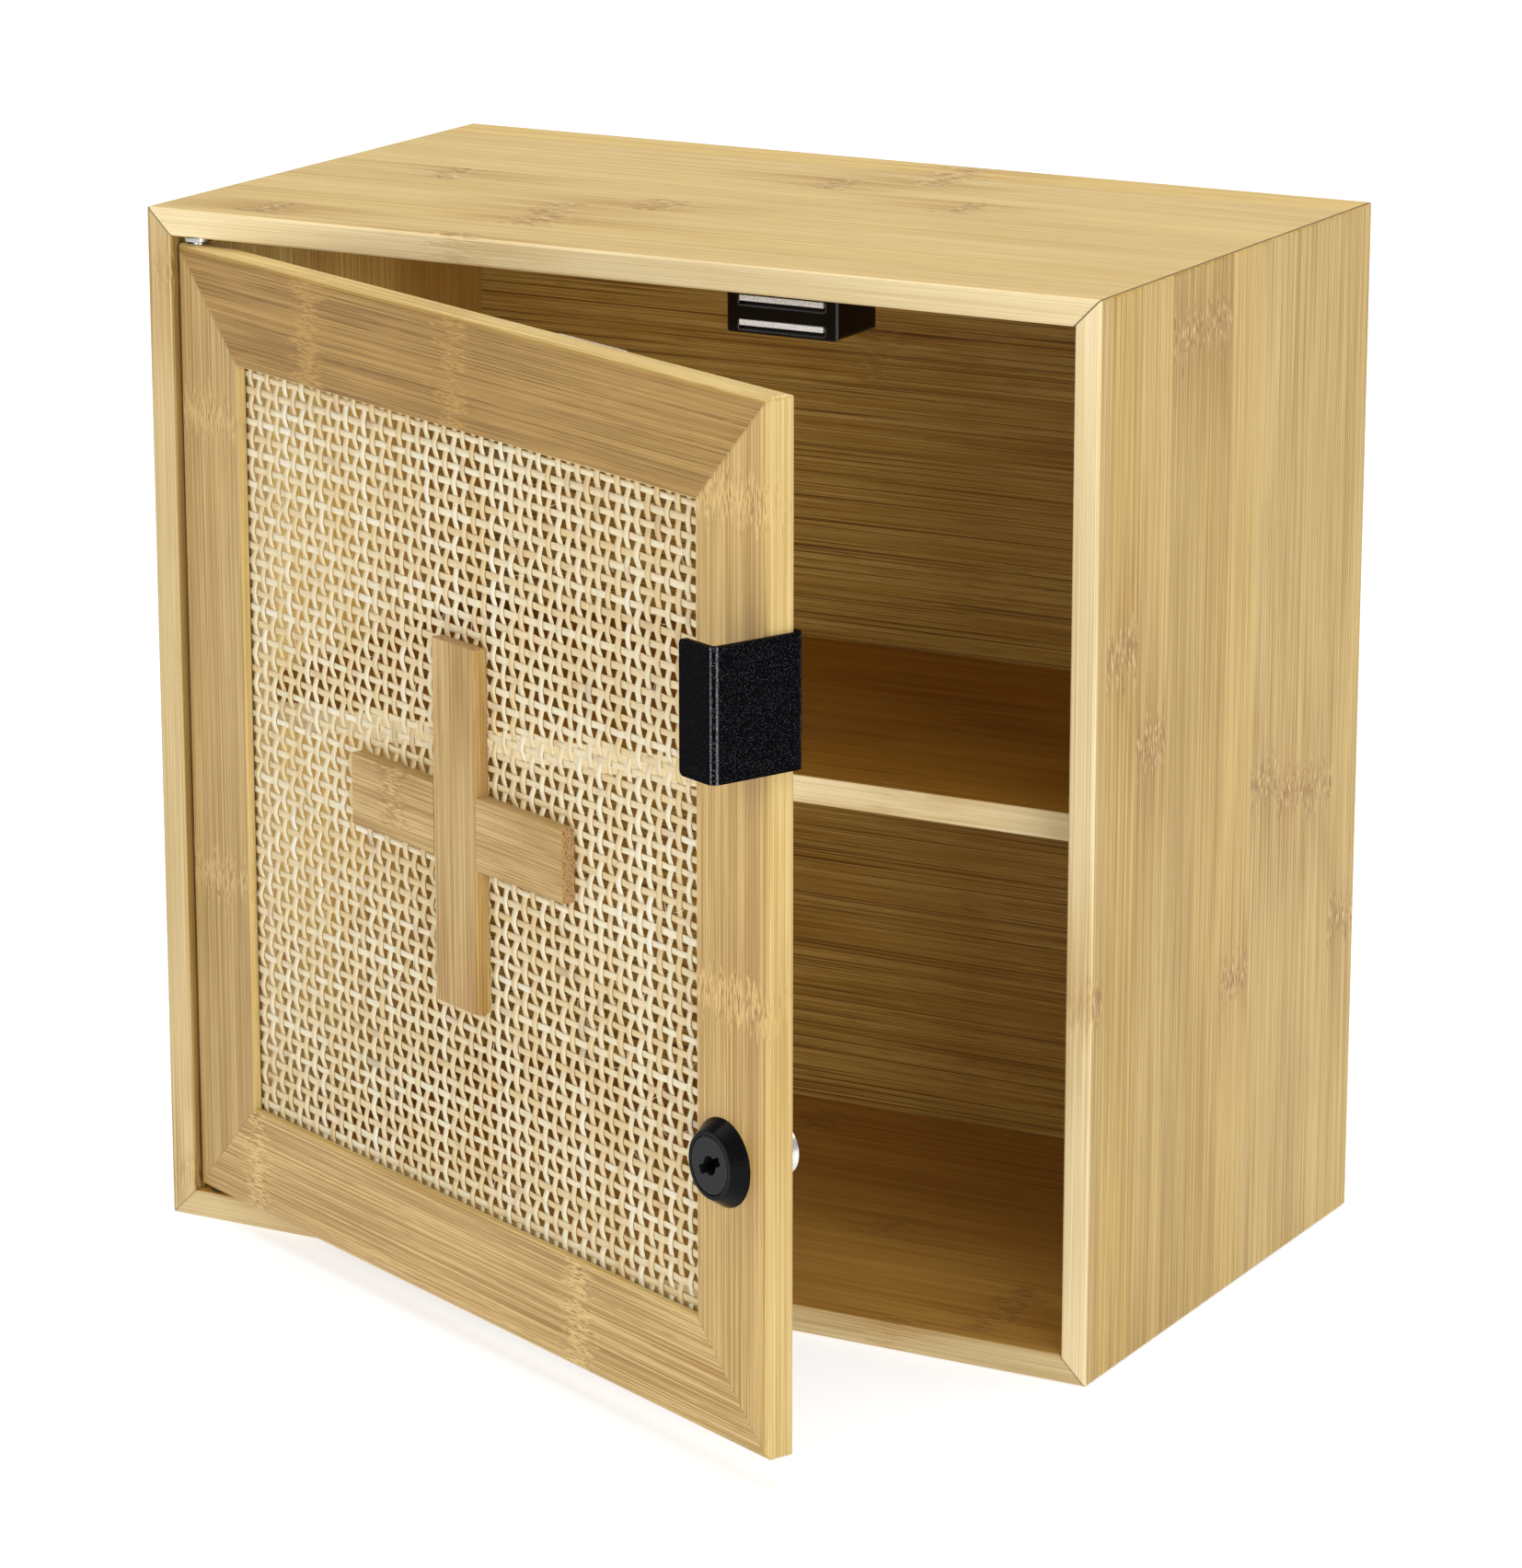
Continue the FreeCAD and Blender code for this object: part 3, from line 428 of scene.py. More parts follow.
# Back panel and shelf: thinner bamboo boards with their grain from side to side. The panel sits loose in
# a groove round the four boards, and the shelf is dowelled between the sides.
back_low, back_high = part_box("back_panel")
back_middle = (back_low.y + back_high.y) / 2 * MM_PER_M
# Painted shade: the back panel's face towards the interior takes darker, deeper colours than its rear face.
back_inner_shade_tones = (0.68, 0.465, 0.132), (0.465, 0.27, 0.053)
back_line_brown = (0.2, 0.098, 0.022)
# Painted shade: the shelf takes dark, deep colours as shade of the interior. Painted light: its front edge
# takes much paler colours.
shelf_shade_tones = (0.51, 0.27, 0.042), (0.34, 0.152, 0.017)
shelf_front_highlight = (0.94, 0.81, 0.53), (0.80, 0.64, 0.35)
back_finish = bamboo(
    "back_panel",
    "x",
    "z",
    14,
    side_tones,
    contrast=1.4,
    dashes=0.4,
    lines=0.9,
    line_length=140.0,
    mark=back_line_brown,
    knots=0.4,
    inner_shade=("y", back_middle + 1.0, back_middle - 1.0, *back_inner_shade_tones),
    sheen=0.2,
)
dress(back_finish, "back_panel")
shelf_finish = bamboo(
    "shelf",
    "x",
    "y",
    17,
    shelf_shade_tones,
    dashes=0.3,
    knots=0.5,
    edge=(outward, *shelf_front_highlight),
    sheen=0.12,
)
dress(shelf_finish, "shelf")


# Magnetic catch: a glossy black moulded case screwed under the top board. It holds a magnet, whose two pole
# plates show in the windows of its front.
gloss = Finish("catch_gloss_black")
flow = gloss.grains(gloss.place, (6.0, 6.0, 6.0))
gloss_rough = gloss.step(flow, 0.3, 0.7, 0.1, 0.2)
gloss.set(Base_Color=(0.002, 0.002, 0.0022), Roughness=gloss_rough, Specular_IOR_Level=0.35)
gloss.relief(flow, 0.00002, soft_edge=0.0005)
dress(gloss, "catch_body")


# Rims round the two windows of the catch: beads of the same glossy moulding, which stand a little proud of
# the front of the case. Each is a frame with round corners and eased arrises, sunk into the case.
def piece_of(mesh, name, finish, body, smooth=True):
    """Makes an object of a mesh in one finish and lets it ride on a body."""
    mesh.materials.clear()
    mesh.materials.append(finish.material)
    mesh.polygons.foreach_set("use_smooth", [smooth] * len(mesh.polygons))
    piece = bpy.data.objects.new(name, mesh)
    bpy.context.scene.collection.objects.link(piece)
    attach(piece, body)
    return piece


def placed(shape, name, finish, body, smooth=True):
    """Makes a piece of a mesh in the making, with its faces turned outwards."""
    bmesh.ops.recalc_face_normals(shape, faces=shape.faces)
    mesh = bpy.data.meshes.new(name)
    shape.to_mesh(mesh)
    shape.free()
    return piece_of(mesh, name, finish, body, smooth)


catch_low, catch_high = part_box("catch_body")
catch_middle_x = (catch_low.x + catch_high.x) / 2
window_width = 0.027
window_height = 0.003
windows_above_case = (0.00225, 0.00895)
rim_overlap = 0.00015
rim_width = 0.0004
rim_sunk = 0.0003
rim_proud = 0.00015
rim_corner = 0.0009
rim_corner_steps = 5
rim_round = 0.00012
rim_round_steps = 2
sharp_angle = 1.0
rims = bmesh.new()
for middle_above_case in windows_above_case:
    sheet = bmesh.ops.create_grid(rims, x_segments=1, y_segments=1, size=0.5)
    for vertex in sheet["verts"]:
        aside = vertex.co.x * (window_width + 2 * rim_overlap)
        above = vertex.co.y * (window_height + 2 * rim_overlap)
        vertex.co = (catch_middle_x + aside, catch_low.y + rim_sunk, catch_low.z + middle_above_case + above)
    bmesh.ops.bevel(
        rims,
        geom=sheet["verts"],
        offset=rim_corner,
        segments=rim_corner_steps,
        profile=0.5,
        affect="VERTICES",
        material=-1,
    )
    panel = max(rims.faces, key=lambda face: len(face.verts))
    band = bmesh.ops.inset_region(
        rims, faces=[panel], thickness=rim_width, use_boundary=True, use_even_offset=True
    )["faces"]
    bmesh.ops.delete(rims, geom=[panel], context="FACES")
    raised = bmesh.ops.extrude_face_region(rims, geom=band)["geom"]
    for item in raised:
        if isinstance(item, bmesh.types.BMVert):
            item.co.y -= rim_sunk + rim_proud
bmesh.ops.bevel(
    rims,
    geom=[
        edge for edge in rims.edges if len(edge.link_faces) == 2 and edge.calc_face_angle(0.0) > sharp_angle
    ],
    offset=rim_round,
    segments=rim_round_steps,
    profile=0.5,
    affect="EDGES",
    material=-1,
)
rim_gloss = Finish("catch_rim_gloss")
rim_flow = rim_gloss.grains(rim_gloss.place, (3.0, 3.0, 3.0))
rim_rough = rim_gloss.step(rim_flow, 0.3, 0.7, 0.08, 0.18)
rim_gloss.set(Base_Color=(0.003, 0.003, 0.0034), Roughness=rim_rough, Specular_IOR_Level=0.9)
placed(rims, "catch_window_rims", rim_gloss, "carcass")


# Magnet, pole plates and screws of the catch: a dark sintered ferrite block between two ground steel plates,
# whose edges show in the windows. Zinc plated screws hold the case to the top board.
ferrite = Finish("magnet_ferrite")
sinter = ferrite.grains(ferrite.place, (0.3, 0.3, 0.3), detail=4.0)
ferrite.set(Base_Color=ferrite.tint(sinter, (0.02, 0.02, 0.022), (0.07, 0.068, 0.066)), Roughness=0.6)
ferrite.relief(sinter, 0.0001)
dress(ferrite, "catch_magnet")


def plated(name, bright, dull, smooth, rough, scratch):
    """Plated metal with fine rubbing marks along one direction and a faintly uneven sheen."""
    finish = Finish(name)
    rub = finish.grains(finish.place, scratch, detail=3.0)
    haze = finish.grains(finish.place, (2.5, 2.5, 2.5), detail=3.0)
    rubbed = finish.step(rub, 0.3, 0.7, smooth, rough)
    finish.set(Base_Color=finish.tint(haze, dull, bright), Metallic=1.0, Roughness=rubbed)
    finish.relief(rub, 0.00002, soft_edge=0.0002)
    return finish


zinc = plated("zinc_plate", (0.86, 0.86, 0.84), (0.62, 0.62, 0.6), 0.22, 0.42, (1.8, 0.25, 0.25))
dress(zinc, "catch_screws")

ground_steel = Finish("pole_plate_steel")
grit = ground_steel.grains(ground_steel.place, (0.25, 0.25, 0.25), detail=2.0)
ground_tone = ground_steel.tint(ground_steel.step(grit, 0.35, 0.6), (0.5, 0.49, 0.46), (0.95, 0.94, 0.92))
ground_steel.set(Base_Color=ground_tone, Metallic=0.25, Roughness=0.45)
ground_steel.relief(grit, 0.0001)
dress(ground_steel, "catch_pole_plates")


# Pivot hinge: steel pins pressed into the top and bottom boards turn in nickel plated bushes in the door's
# edges. A steel washer sits round the upper pin, in the gap over the door, and a dark nylon one under it.
nickel = plated("nickel_plate", (0.92, 0.9, 0.86), (0.74, 0.72, 0.68), 0.08, 0.24, (0.3, 0.3, 3.0))
dress(zinc, "hinge_pins")
dull_steel = plated("washer_steel", (0.6, 0.59, 0.57), (0.3, 0.3, 0.29), 0.12, 0.3, (0.3, 0.3, 3.0))
dress(dull_steel, "upper_washer")
dress(nickel, "hinge_bushes")
# Painted shade: the washer is dark brown so that it passes for the shade under the door's corner.
nylon = Finish("washer_nylon")
washer_mottle = nylon.grains(nylon.place, (1.5, 1.5, 1.5))
nylon_tone = nylon.tint(washer_mottle, (0.05, 0.03, 0.013), (0.085, 0.052, 0.024))
nylon.set(Base_Color=nylon_tone, Roughness=0.55, Specular_IOR_Level=0.05)
dress(nylon, "lower_washer")


# Door frame: four bamboo bars, mitred and dowelled, with a rebate behind the window. The rails are darker
# and strongly grained, the stiles paler and striped. The door stands open on its pivot.
door_hinge = next(joint for joint in frame["joints"] if joint["name"] == "door_hinge")
pivot = Vector((door_hinge["pos_m"][0], door_hinge["pos_m"][1], 0.0))
open_angle = math.radians(-door_hinge["range_deg"][0])
hinge = (open_angle, pivot[:2])
door_at_rest = Matrix.Translation(pivot) @ Matrix.Rotation(-open_angle, 4, "Z") @ Matrix.Translation(-pivot)
to_shut = door_at_rest.inverted()


def shut_box(node):
    """Corners of a door piece as it stands when the door is shut."""
    points = [to_shut @ vertex.co for vertex in frame["nodes"][node].data.vertices]
    lowest = Vector([min(point[axis] for point in points) for axis in range(3)])
    highest = Vector([max(point[axis] for point in points) for axis in range(3)])
    return lowest, highest


door_low = shut_box("door_hinge_stile")[0]
door_high = shut_box("door_lock_stile")[1]
door_middle = (door_low + door_high) / 2 * MM_PER_M
door_half = (door_high - door_low) / 2 * MM_PER_M
door_mitre = (door_middle.x, door_middle.z, door_half.x - door_half.z)
door_along = tuple(door_at_rest.to_3x3() @ Vector((1.0, 0.0, 0.0)))
# Painted light: the top and bottom faces of the rails and the side faces of the stiles, window edges among
# them, take paler colours.
edge_highlight_tones = (0.69, 0.515, 0.21), (0.50, 0.335, 0.105)
top_rail_tones = (0.43, 0.262, 0.068), (0.21, 0.109, 0.021)
bottom_rail_tones = (0.66, 0.465, 0.19), (0.37, 0.225, 0.068)
hinge_stile_tones = (0.55, 0.385, 0.155), (0.32, 0.198, 0.062)
lock_stile_tones = (0.64, 0.445, 0.172), (0.38, 0.235, 0.07)
bar_width = 31.0
bar_looks = {
    "door_top_rail": ("x", 21, top_rail_tones, 0.95, 70.0, (-73.0, -2.0), upward),
    "door_bottom_rail": ("x", 24, bottom_rail_tones, 0.6, 90.0, (-108.0, 52.0), upward),
    "door_hinge_stile": ("z", 27, hinge_stile_tones, 0.35, 300.0, (243.0, 108.0), door_along),
    "door_lock_stile": ("z", 30, lock_stile_tones, 0.3, 300.0, (131.0, 262.0), door_along),
}
for bar, (bar_grain, seed, tones, dashes, line_length, knot_places, highlight_way) in bar_looks.items():
    bar_finish = bamboo(
        bar,
        bar_grain,
        "z" if bar_grain == "x" else "x",
        seed,
        tones,
        strip=bar_width,
        contrast=1.35,
        dashes=dashes,
        lines=0.85,
        line_length=line_length,
        seams=0.1,
        warmth=0.2,
        knots=0.85,
        knot_pale=0.45,
        smudge=0.22,
        knot_places=knot_places,
        hinge=hinge,
        mitre=door_mitre,
        glue=0.15,
        edge=(highlight_way, *edge_highlight_tones),
    )
    dress(bar_finish, bar)


# Cane webbing: a plain weave of peeled cane strips, 49 each way, each strip passing over and under the
# others by turns. Its edges are tucked into the rebate of the frame.
window_low = Vector((shut_box("door_hinge_stile")[1].x, 0.0, shut_box("door_bottom_rail")[1].z))
window_high = Vector((shut_box("door_lock_stile")[0].x, 0.0, shut_box("door_top_rail")[0].z))
net_low, net_high = shut_box("cane_webbing")
net_middle_y = (net_low.y + net_high.y) / 2
strip_count = 49
cuts_per_crossing = 4
cuts_across = 2
cane_thickness = 0.00022
cane_crown = 0.00005
edge_fade = 0.0035
tucked_swing = 0.0002
weave_chance = random.Random(12)


def window_share(value, low, high):
    """0 in the rebate, rising to 1 a little way inside the window."""
    inside = min(value - low, high - value) / edge_fade
    return min(max(inside, 0.0), 1.0)


def weave(name, finish, run, cross, swing, widths, sway):
    """Strips along one axis (run) that pass over and under strips along the other (cross)."""
    run_low, run_high = window_low[run], window_high[run]
    cross_low, cross_high = window_low[cross], window_high[cross]
    run_pitch = (run_high - run_low) / strip_count
    cross_pitch = (cross_high - cross_low) / strip_count
    start, end = net_low[run], net_high[run]
    strips = bmesh.new()
    uv_layer = strips.loops.layers.uv.new("strip")
    for number in range(strip_count):
        middle = cross_low + (number + 0.5) * cross_pitch
        width = weave_chance.uniform(*widths)
        shifts = [weave_chance.uniform(-sway, sway) for _ in range(strip_count + 2)]
        above = 1 if (number + (run == 2)) % 2 else -1
        grid = bmesh.ops.create_grid(
            strips, x_segments=cuts_across, y_segments=strip_count * cuts_per_crossing, size=0.5
        )
        for vertex in grid["verts"]:
            aside, ahead = vertex.co.x, vertex.co.y + 0.5
            along = start + ahead * (end - start)
            crossing = (along - run_low) / run_pitch - 0.5
            whole = min(max(math.floor(crossing), -1), strip_count - 1)
            part = min(max(crossing - whole, 0.0), 1.0)
            ease = part * part * (3 - 2 * part)
            lean = shifts[whole + 1] * (1 - ease) + shifts[whole + 2] * ease
            inside = window_share(along, run_low, run_high)
            height = (tucked_swing + (swing - tucked_swing) * inside) * math.cos(math.pi * crossing) * above
            crown = cane_crown * (1 - 4 * aside * aside)
            place = Vector((0.0, net_middle_y - height - crown * inside, 0.0))
            place[run] = along
            place[cross] = middle + aside * width + lean * inside
            vertex.co = place
        for face in {face for vertex in grid["verts"] for face in vertex.link_faces}:
            for loop in face.loops:
                aside = (loop.vert.co[cross] - middle) / cross_pitch
                loop[uv_layer].uv = (number + 0.5 + aside, loop.vert.co[run] * MM_PER_M)
    bmesh.ops.transform(strips, matrix=door_at_rest, verts=strips.verts)
    piece = placed(strips, name, finish, "door")
    wall = piece.modifiers.new("strip_thickness", "SOLIDIFY")
    wall.thickness = cane_thickness
    wall.offset = 0.0
    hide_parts("cane_webbing")


CANE_DEEP = (0.67, 0.52, 0.28)
CANE_PALE = (0.80, 0.71, 0.52)
CANE_WHITE = (0.83, 0.765, 0.64)
CANE_BROWN = (0.50, 0.355, 0.20)
CANE_GREY = (0.36, 0.31, 0.23)
CANE_SPECK = (0.13, 0.07, 0.03)
CANE_PITCH = 4.4
CANE_APART = 300.0


def cane(name, seed):
    """Peeled cane: every strip has its own tone, with paler, browner and greyer lengths and fine fibres."""
    finish = Finish(name)
    uv = finish.split(finish.coordinate.outputs["UV"])
    own_tone = finish.chance(finish.math("FLOOR", uv["x"]), seed)
    aside = finish.math("MULTIPLY", uv["x"], CANE_PITCH)
    lay = finish.join(aside, uv["y"], finish.math("MULTIPLY", own_tone, CANE_APART))
    fibre = finish.grains(lay, (0.3, 24.0, 1.0))
    stretch = finish.grains(lay, (60.0, 40.0, 1.0))
    patch = finish.grains(lay, (60.0, 16.0, 1.3))
    stale = finish.grains(lay, (60.0, 30.0, 1.7))
    speck = finish.grains(lay, (0.6, 0.9, 1.0), detail=1.0)
    band = finish.grains(finish.join(aside, uv["y"], 0.0), (18.0, 110.0, 1.0))
    tone = finish.math(
        "ADD",
        finish.math("MULTIPLY", own_tone, 0.5),
        finish.about(stretch, 0.5, 1.3),
        finish.about(band, 0.5, 1.4),
        finish.about(fibre, 0.5, 0.6),
    )
    colour = finish.tint(finish.step(tone, -0.25, 0.75), CANE_DEEP, CANE_PALE)
    colour = finish.tint(finish.step(stretch, 0.6, 0.74, 0.0, 0.6), colour, CANE_WHITE)
    colour = finish.tint(finish.step(patch, 0.6, 0.72, 0.0, 0.55), colour, CANE_BROWN)
    colour = finish.tint(finish.step(stale, 0.66, 0.76, 0.0, 0.6), colour, CANE_GREY)
    colour = finish.tint(finish.step(speck, 0.78, 0.83, 0.0, 0.8), colour, CANE_SPECK)
    finish.set(Base_Color=colour, Roughness=finish.step(fibre, 0.3, 0.7, 0.62, 0.5), Specular_IOR_Level=0.25)
    finish.set(Subsurface_Weight=0.6, Subsurface_Radius=(1.0, 0.75, 0.45), Subsurface_Scale=0.0006)
    finish.relief(fibre, 0.00005)
    return finish


weave(
    "cane_warp",
    cane("cane_upright_strips", 61),
    run=2,
    cross=0,
    swing=0.00044,
    widths=(0.0018, 0.0023),
    sway=0.00035,
)
weave(
    "cane_weft",
    cane("cane_level_strips", 67),
    run=0,
    cross=2,
    swing=0.00016,
    widths=(0.0016, 0.0021),
    sway=0.00018,
)


# Loose fibres: hair-thin splinters that stand out of the cane where the knife peeled it, lying across
# the gaps of the weave.
fibre_count = 240
fibre_radius = 0.00006
fibre_lengths = (0.002, 0.006)
fibre_lift = 0.0009
fibre_bend = 0.9
fibre_line = bpy.data.curves.new("cane_fibres", "CURVE")
fibre_line.dimensions = "3D"
fibre_line.bevel_depth = fibre_radius
fibre_line.bevel_resolution = 0
fibre_line.resolution_u = 3
for _ in range(fibre_count):
    start_x = weave_chance.uniform(window_low.x + edge_fade, window_high.x - edge_fade)
    start_z = weave_chance.uniform(window_low.z + edge_fade, window_high.z - edge_fade)
    heading = weave_chance.uniform(0, 2 * math.pi)
    reach = weave_chance.uniform(*fibre_lengths)
    bend = weave_chance.uniform(-fibre_bend, fibre_bend)
    spline = fibre_line.splines.new("NURBS")
    spline.points.add(2)
    for index, point in enumerate(spline.points):
        share = index / 2
        turn = heading + bend * share
        lift = fibre_lift * (0.6 + 0.5 * math.sin(math.pi * share))
        spot = Vector(
            (
                start_x + reach * (share - 0.5) * math.cos(turn),
                net_middle_y - lift,
                start_z + reach * (share - 0.5) * math.sin(turn),
            )
        )
        point.co = (*(door_at_rest @ spot), 1.0)
    spline.order_u = 3
    spline.use_endpoint_u = True
fibre_guide = bpy.data.objects.new("cane_fibre_guide", fibre_line)
bpy.context.scene.collection.objects.link(fibre_guide)
bpy.context.view_layer.update()
fibre_mesh = bpy.data.meshes.new_from_object(fibre_guide.evaluated_get(bpy.context.evaluated_depsgraph_get()))
bpy.data.objects.remove(fibre_guide)
fibre_mesh.name = "cane_fibres"
splinter = Finish("cane_splinters")
splinter_tone = splinter.step(splinter.grains(splinter.place, (9.0, 9.0, 9.0)), 0.3, 0.5)
splinter.set(Base_Color=splinter.tint(splinter_tone, (0.42, 0.28, 0.14), (0.90, 0.84, 0.70)), Roughness=0.6)
piece_of(fibre_mesh, "cane_fibres", splinter, "door")


# Beads: four thin bamboo strips glued into the rebate behind the webbing, flush with the back of the door.
# They hold the edges of the cane, and the grain runs along each of them.
bead_tones = (0.66, 0.48, 0.23), (0.44, 0.28, 0.10)
for bead, bead_grain, seed in (("top", "x", 41), ("bottom", "x", 42), ("left", "z", 43), ("right", "z", 44)):
    bead_across = "z" if bead_grain == "x" else "x"
    bead_name = "webbing_bead_" + bead
    dress(bamboo(bead_name, bead_grain, bead_across, seed, bead_tones, knots=0.4, hinge=hinge), bead_name)


# Cross: an upright bar and two butted arms of bamboo glued to the front of the webbing. Their sawn ends
# show the dotted end grain.
cross_tones = (0.58, 0.41, 0.172), (0.37, 0.23, 0.076)
cross_looks = {
    "cross_upright": ("z", 51, upward, 0.0),
    "cross_left_arm": ("x", 53, door_along, 0.7),
    "cross_right_arm": ("x", 57, door_along, 0.0),
}
for bar, (bar_grain, seed, end_way, knots) in cross_looks.items():
    bar_finish = bamboo(
        bar,
        bar_grain,
        "z" if bar_grain == "x" else "x",
        seed,
        cross_tones,
        strip=40.0,
        contrast=1.2,
        dashes=0.5,
        lines=0.5,
        line_length=120.0,
        seams=0.0,
        knots=knots,
        knot_every=90.0,
        hinge=hinge,
        end_grain=end_way,
    )
    dress(bar_finish, bar)


# Pull: steel sheet bent round the free edge of the door, under a fine textured black powder coat. Its
# sparkle is painted: pale glint specks in the coat colour, fewer on the lip, and two painted highlight lines
# along the front bend. Two screws hold its rear flange.
coat_black = (0.002, 0.0021, 0.0028)
# The two paler coat colours are painted: a painted glint for the specks and a painted highlight for the bend.
coat_glint = (0.085, 0.088, 0.1)
coat_bend_highlight = (0.19, 0.195, 0.21)
coat_beads_per_mm = 2.9
bend_depth = 3.0
powder = Finish("black_powder_coat", *hinge)
peel = powder.add("ShaderNodeTexVoronoi")
peel.inputs["Scale"].default_value = coat_beads_per_mm
powder.feed(peel.inputs["Vector"], powder.place)
grain_chance = powder.split(peel.outputs["Color"])["x"]
bead_top = powder.step(peel.outputs["Distance"], 0.2, 0.5, 1.0, 0.0)
across_bend = powder.facing(door_along)
outer_face = powder.step(across_bend, 0.15, 0.55, 0.15, 1.0)
# Painted glints: pale specks in the coat colour, weaker on the lip, which faces away from the light.
glint = powder.math("MULTIPLY", powder.step(grain_chance, 0.6, 1.0), bead_top, outer_face)
# Painted highlight: two bright lines along the front bend, next to the lip and next to the web, in a pale
# coat colour.
lip_side = powder.step(across_bend, 0.47, 0.62, 1.0, 0.0)
near_lip = powder.math("MULTIPLY", powder.step(across_bend, 0.3, 0.45), lip_side)
web_side = powder.step(across_bend, 0.955, 0.995, 1.0, 0.0)
near_web = powder.math("MULTIPLY", powder.step(across_bend, 0.84, 0.93), web_side)
door_face = door_low.y * MM_PER_M
front_bend = powder.step(powder.split(powder.place)["y"], door_face, door_face + bend_depth, 1.0, 0.0)
bend_highlight = powder.math(
    "MULTIPLY",
    powder.math("MAXIMUM", near_lip, near_web),
    front_bend,
    powder.step(bead_top, 0.0, 1.0, 0.25, 1.0),
)
powder.set(
    Base_Color=powder.tint(bend_highlight, powder.tint(glint, coat_black, coat_glint), coat_bend_highlight),
    Roughness=powder.step(grain_chance, 0.0, 1.0, 0.28, 0.42),
    Specular_IOR_Level=powder.step(powder.math("MAXIMUM", glint, bend_highlight), 0.0, 0.8, 0.01, 1.0),
)
powder.relief(bead_top, 0.00001)
dress(powder, "pull_handle")
dress(zinc, "pull_screws")


# Strike plate: a flat zinc plated steel plate on the back of the top rail, which the magnet holds when the
# door is shut. Two screws fix it.
dress(zinc, "strike_plate", "strike_screws")


# Cam lock: a nickel plated barrel through the lock stile with a glossy black conical rosette in front and
# a hexagon nut behind. The satin black plug turns in it and carries a steel cam on its rear end.
def enamelled(name, dark, light, smooth, rough, sheen):
    """Sprayed black enamel over metal, a little uneven, with eased arrises."""
    finish = Finish(name)
    spray = finish.grains(finish.place, (0.5, 0.5, 0.5), detail=3.0)
    dulled = finish.step(spray, 0.3, 0.7, smooth, rough)
    finish.set(Base_Color=finish.tint(spray, dark, light), Roughness=dulled, Specular_IOR_Level=sheen)
    finish.relief(spray, 0.00002, soft_edge=0.0005)
    return finish


lock_gloss = enamelled("lock_gloss", (0.002, 0.002, 0.0024), (0.005, 0.005, 0.006), 0.12, 0.2, 0.07)
dress(lock_gloss, "lock_rosette")
lock_satin = enamelled("lock_satin", (0.005, 0.0055, 0.0065), (0.013, 0.0135, 0.0155), 0.2, 0.3, 0.14)
dress(lock_satin, "lock_plug")
dress(nickel, "lock_nut")
dress(zinc, "lock_cam", "lock_cam_screw")


# Lock barrel: a turned and nickel plated metal tube, plain inside the stile and finely threaded behind it for
# the nut. It is spun from its outline round the axis of the lock.
axis_low, axis_high = shut_box("lock_barrel")
barrel_middle = (axis_low + axis_high) / 2
barrel_radius = (axis_high.x - axis_low.x) / 2
bore_radius = 0.00555
thread_start = door_high.y
thread_pitch = 0.001
thread_depth = 0.00055
end_chamfer = 0.0006
spin_steps = 64
outline = [(axis_low.y, bore_radius), (axis_low.y, barrel_radius), (thread_start, barrel_radius)]
crest = thread_start
while crest + thread_pitch < axis_high.y - end_chamfer:
    outline.append((crest + thread_pitch / 2, barrel_radius - thread_depth))
    outline.append((crest + thread_pitch, barrel_radius))
    crest += thread_pitch
outline.append((axis_high.y - end_chamfer, barrel_radius))
outline.append((axis_high.y, barrel_radius - end_chamfer))
outline.append((axis_high.y, bore_radius))
barrel = bmesh.new()
points = [barrel.verts.new((barrel_middle.x + radius, y, barrel_middle.z)) for y, radius in outline]
edges = [barrel.edges.new(pair) for pair in zip(points, points[1:] + points[:1])]
bmesh.ops.spin(
    barrel,
    geom=points + edges,
    cent=barrel_middle,
    axis=(0, 1, 0),
    angle=2 * math.pi,
    steps=spin_steps,
    use_merge=True,
)
bmesh.ops.transform(barrel, matrix=door_at_rest, verts=barrel.verts)
barrel_piece = placed(barrel, "threaded_barrel", nickel, "door", smooth=False)
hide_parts("lock_barrel")


# Floor: a wide sheet of pale matt paper under the cabinet. It glows faintly, and more so further away, so
# that it runs out to plain white behind the cabinet.
floor_reach = 12.0
glow_near, glow_far = 1200.0, 4500.0
glow_low, glow_high = 0.64, 1.0
floor_mesh = bpy.data.meshes.new("floor")
floor_sheet = bmesh.new()
bmesh.ops.create_grid(floor_sheet, x_segments=2, y_segments=2, size=floor_reach)
floor_sheet.to_mesh(floor_mesh)
floor_sheet.free()
floor = bpy.data.objects.new("floor", floor_mesh)
bpy.context.scene.collection.objects.link(floor)
paper = Finish("pale_paper")
paper_tooth = paper.grains(paper.place, (40.0, 40.0, 40.0))
paper.set(Base_Color=paper.tint(paper_tooth, (0.54, 0.54, 0.54), (0.56, 0.56, 0.56)), Roughness=0.9)
away = paper.add("ShaderNodeVectorMath", operation="LENGTH")
paper.feed(away.inputs[0], paper.place)
paper_glow = paper.step(away.outputs["Value"], glow_near, glow_far, glow_low, glow_high)
paper.set(Specular_IOR_Level=0.0, Emission_Color=(1.0, 1.0, 1.0), Emission_Strength=paper_glow)
floor_mesh.materials.append(paper.material)


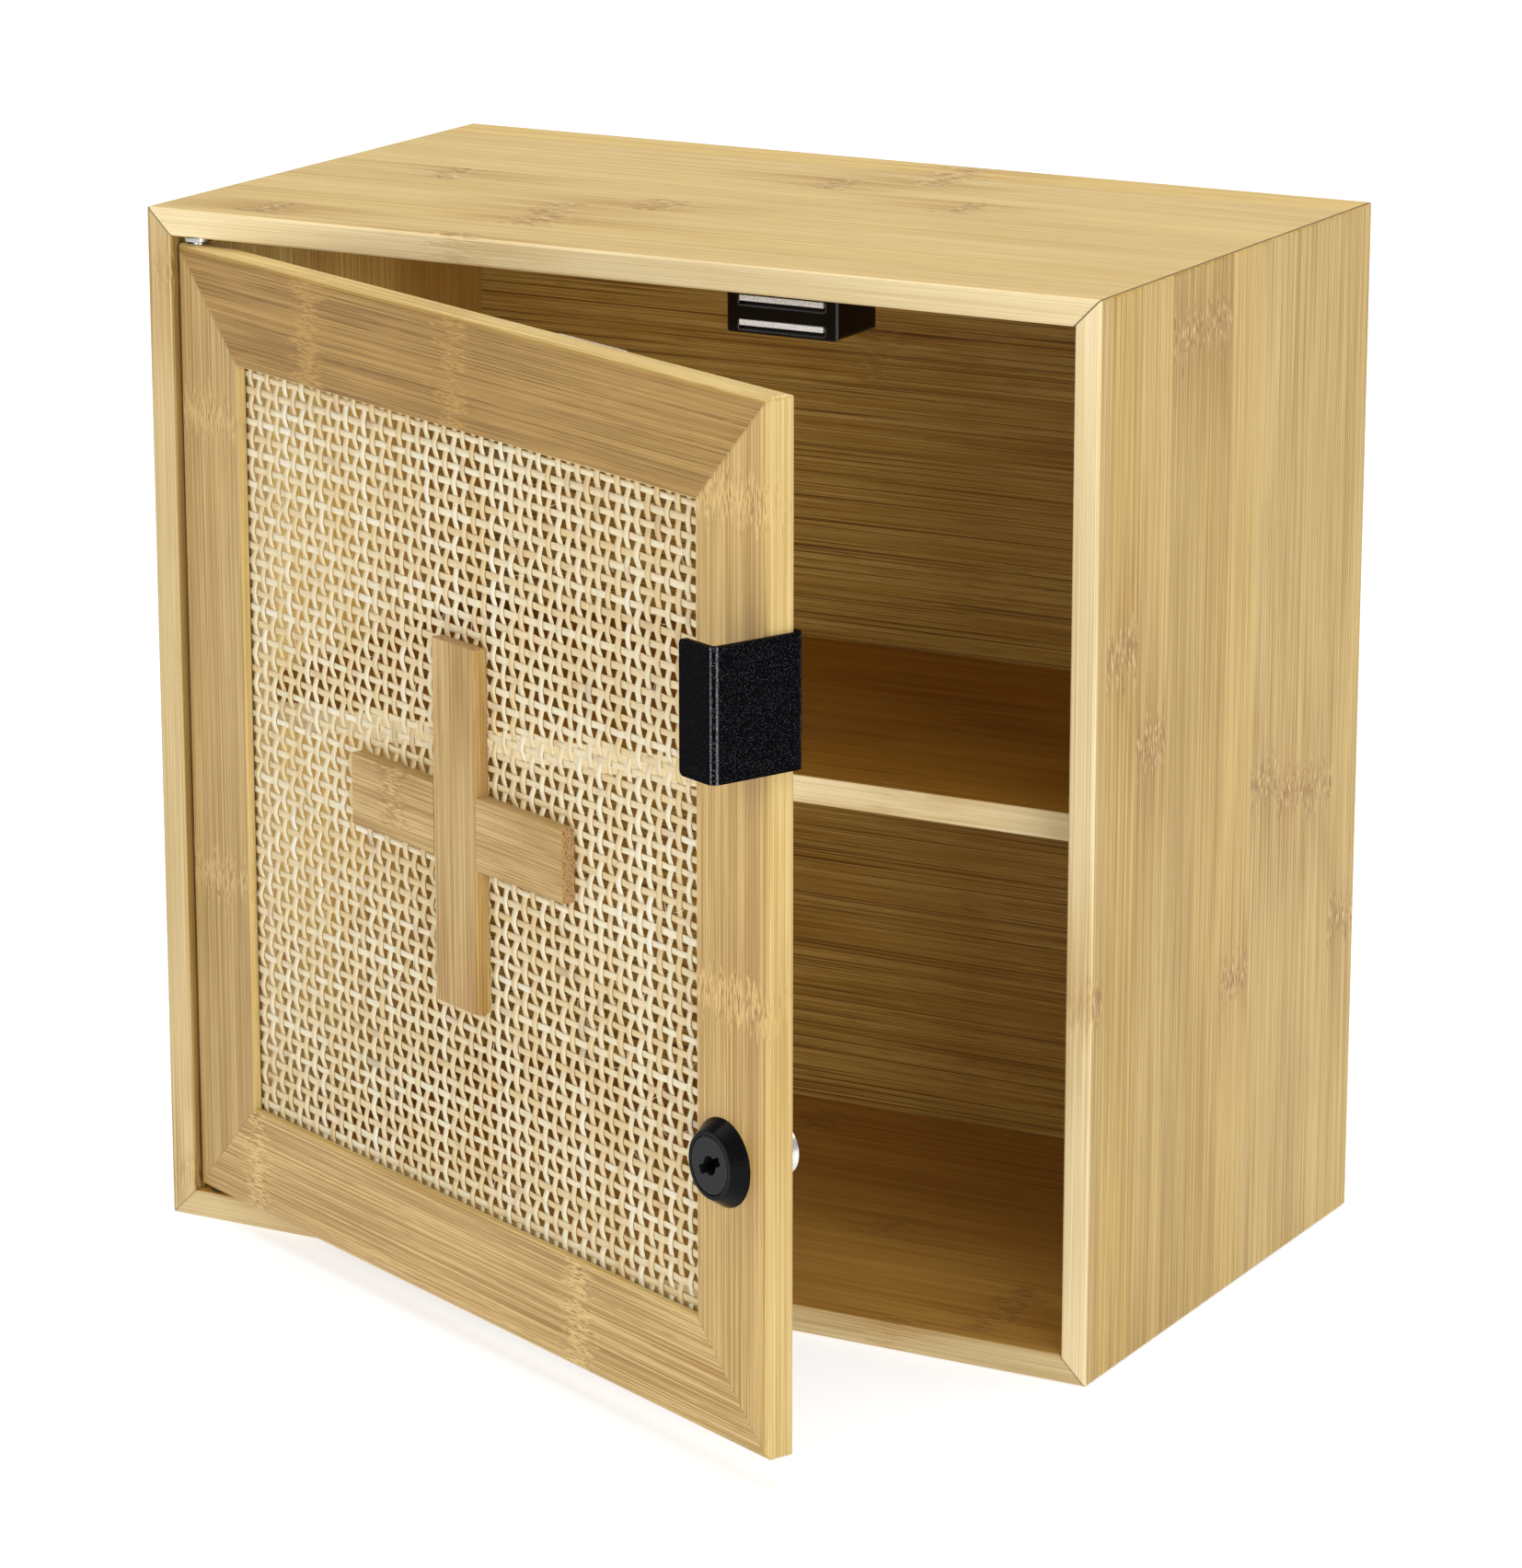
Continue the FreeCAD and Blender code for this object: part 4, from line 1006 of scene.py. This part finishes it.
# Studio light: an even white room with large soft boxes above, to the right and to the front left, and a
# narrow card at the right that sends light in behind the open door.
scene = bpy.context.scene
scene.view_settings.view_transform = "Standard"
world = bpy.data.worlds.new("studio")
world.use_nodes = True
room_light = world.node_tree.nodes["Background"].inputs
room_light["Color"].default_value = (1.0, 1.0, 1.0, 1.0)
room_light["Strength"].default_value = 0.35
scene.world = world
look_at = Vector((0.0, -0.06, 0.15))
soft_boxes = {
    "top_box": ((0.2, 0.3, 2.4), (3.0, 3.0), 62.0, 180.0, look_at),
    "right_box": ((1.45, -1.3, 0.3), (0.8, 1.0), 14.5, 180.0, look_at),
    "front_box": ((-0.55, -1.95, 1.0), (0.9, 1.2), 11.0, 180.0, look_at),
    "door_card": ((0.55, -0.32, 0.16), (0.03, 0.2), 0.05, 12.0, Vector((-0.142, -0.03, 0.15))),
}
for box_name, (box_place, (box_width, box_height), box_power, box_spread, box_aim) in soft_boxes.items():
    lamp = bpy.data.lights.new(box_name, "AREA")
    lamp.shape = "RECTANGLE"
    lamp.size = box_width
    lamp.size_y = box_height
    lamp.energy = box_power
    lamp.spread = math.radians(box_spread)
    lamp_object = bpy.data.objects.new(box_name, lamp)
    lamp_object.location = box_place
    lamp_object.rotation_mode = "QUATERNION"
    lamp_object.rotation_quaternion = (box_aim - Vector(box_place)).to_track_quat("-Z", "Y")
    lamp_object.visible_camera = False
    scene.collection.objects.link(lamp_object)


# Camera: a long lens from the front right and a little above, as the cabinet was photographed. It has no
# shift, so the cabinet keeps its place in the frame from every other side too.
camera_place = Vector((0.81666, -1.46751, 0.58275))
camera_azimuth = math.radians(29.09)
camera_elevation = math.radians(15.09)
camera_view = Vector(
    (
        -math.sin(camera_azimuth) * math.cos(camera_elevation),
        math.cos(camera_azimuth) * math.cos(camera_elevation),
        -math.sin(camera_elevation),
    )
)
lens = bpy.data.cameras.new("camera")
lens.sensor_width = 36.0
lens.lens = 137.5
lens.clip_start = 0.05
lens.clip_end = 60.0
camera = bpy.data.objects.new("camera", lens)
camera.location = camera_place
camera.rotation_mode = "QUATERNION"
camera.rotation_quaternion = camera_view.to_track_quat("-Z", "Y")
scene.collection.objects.link(camera)
scene.camera = camera
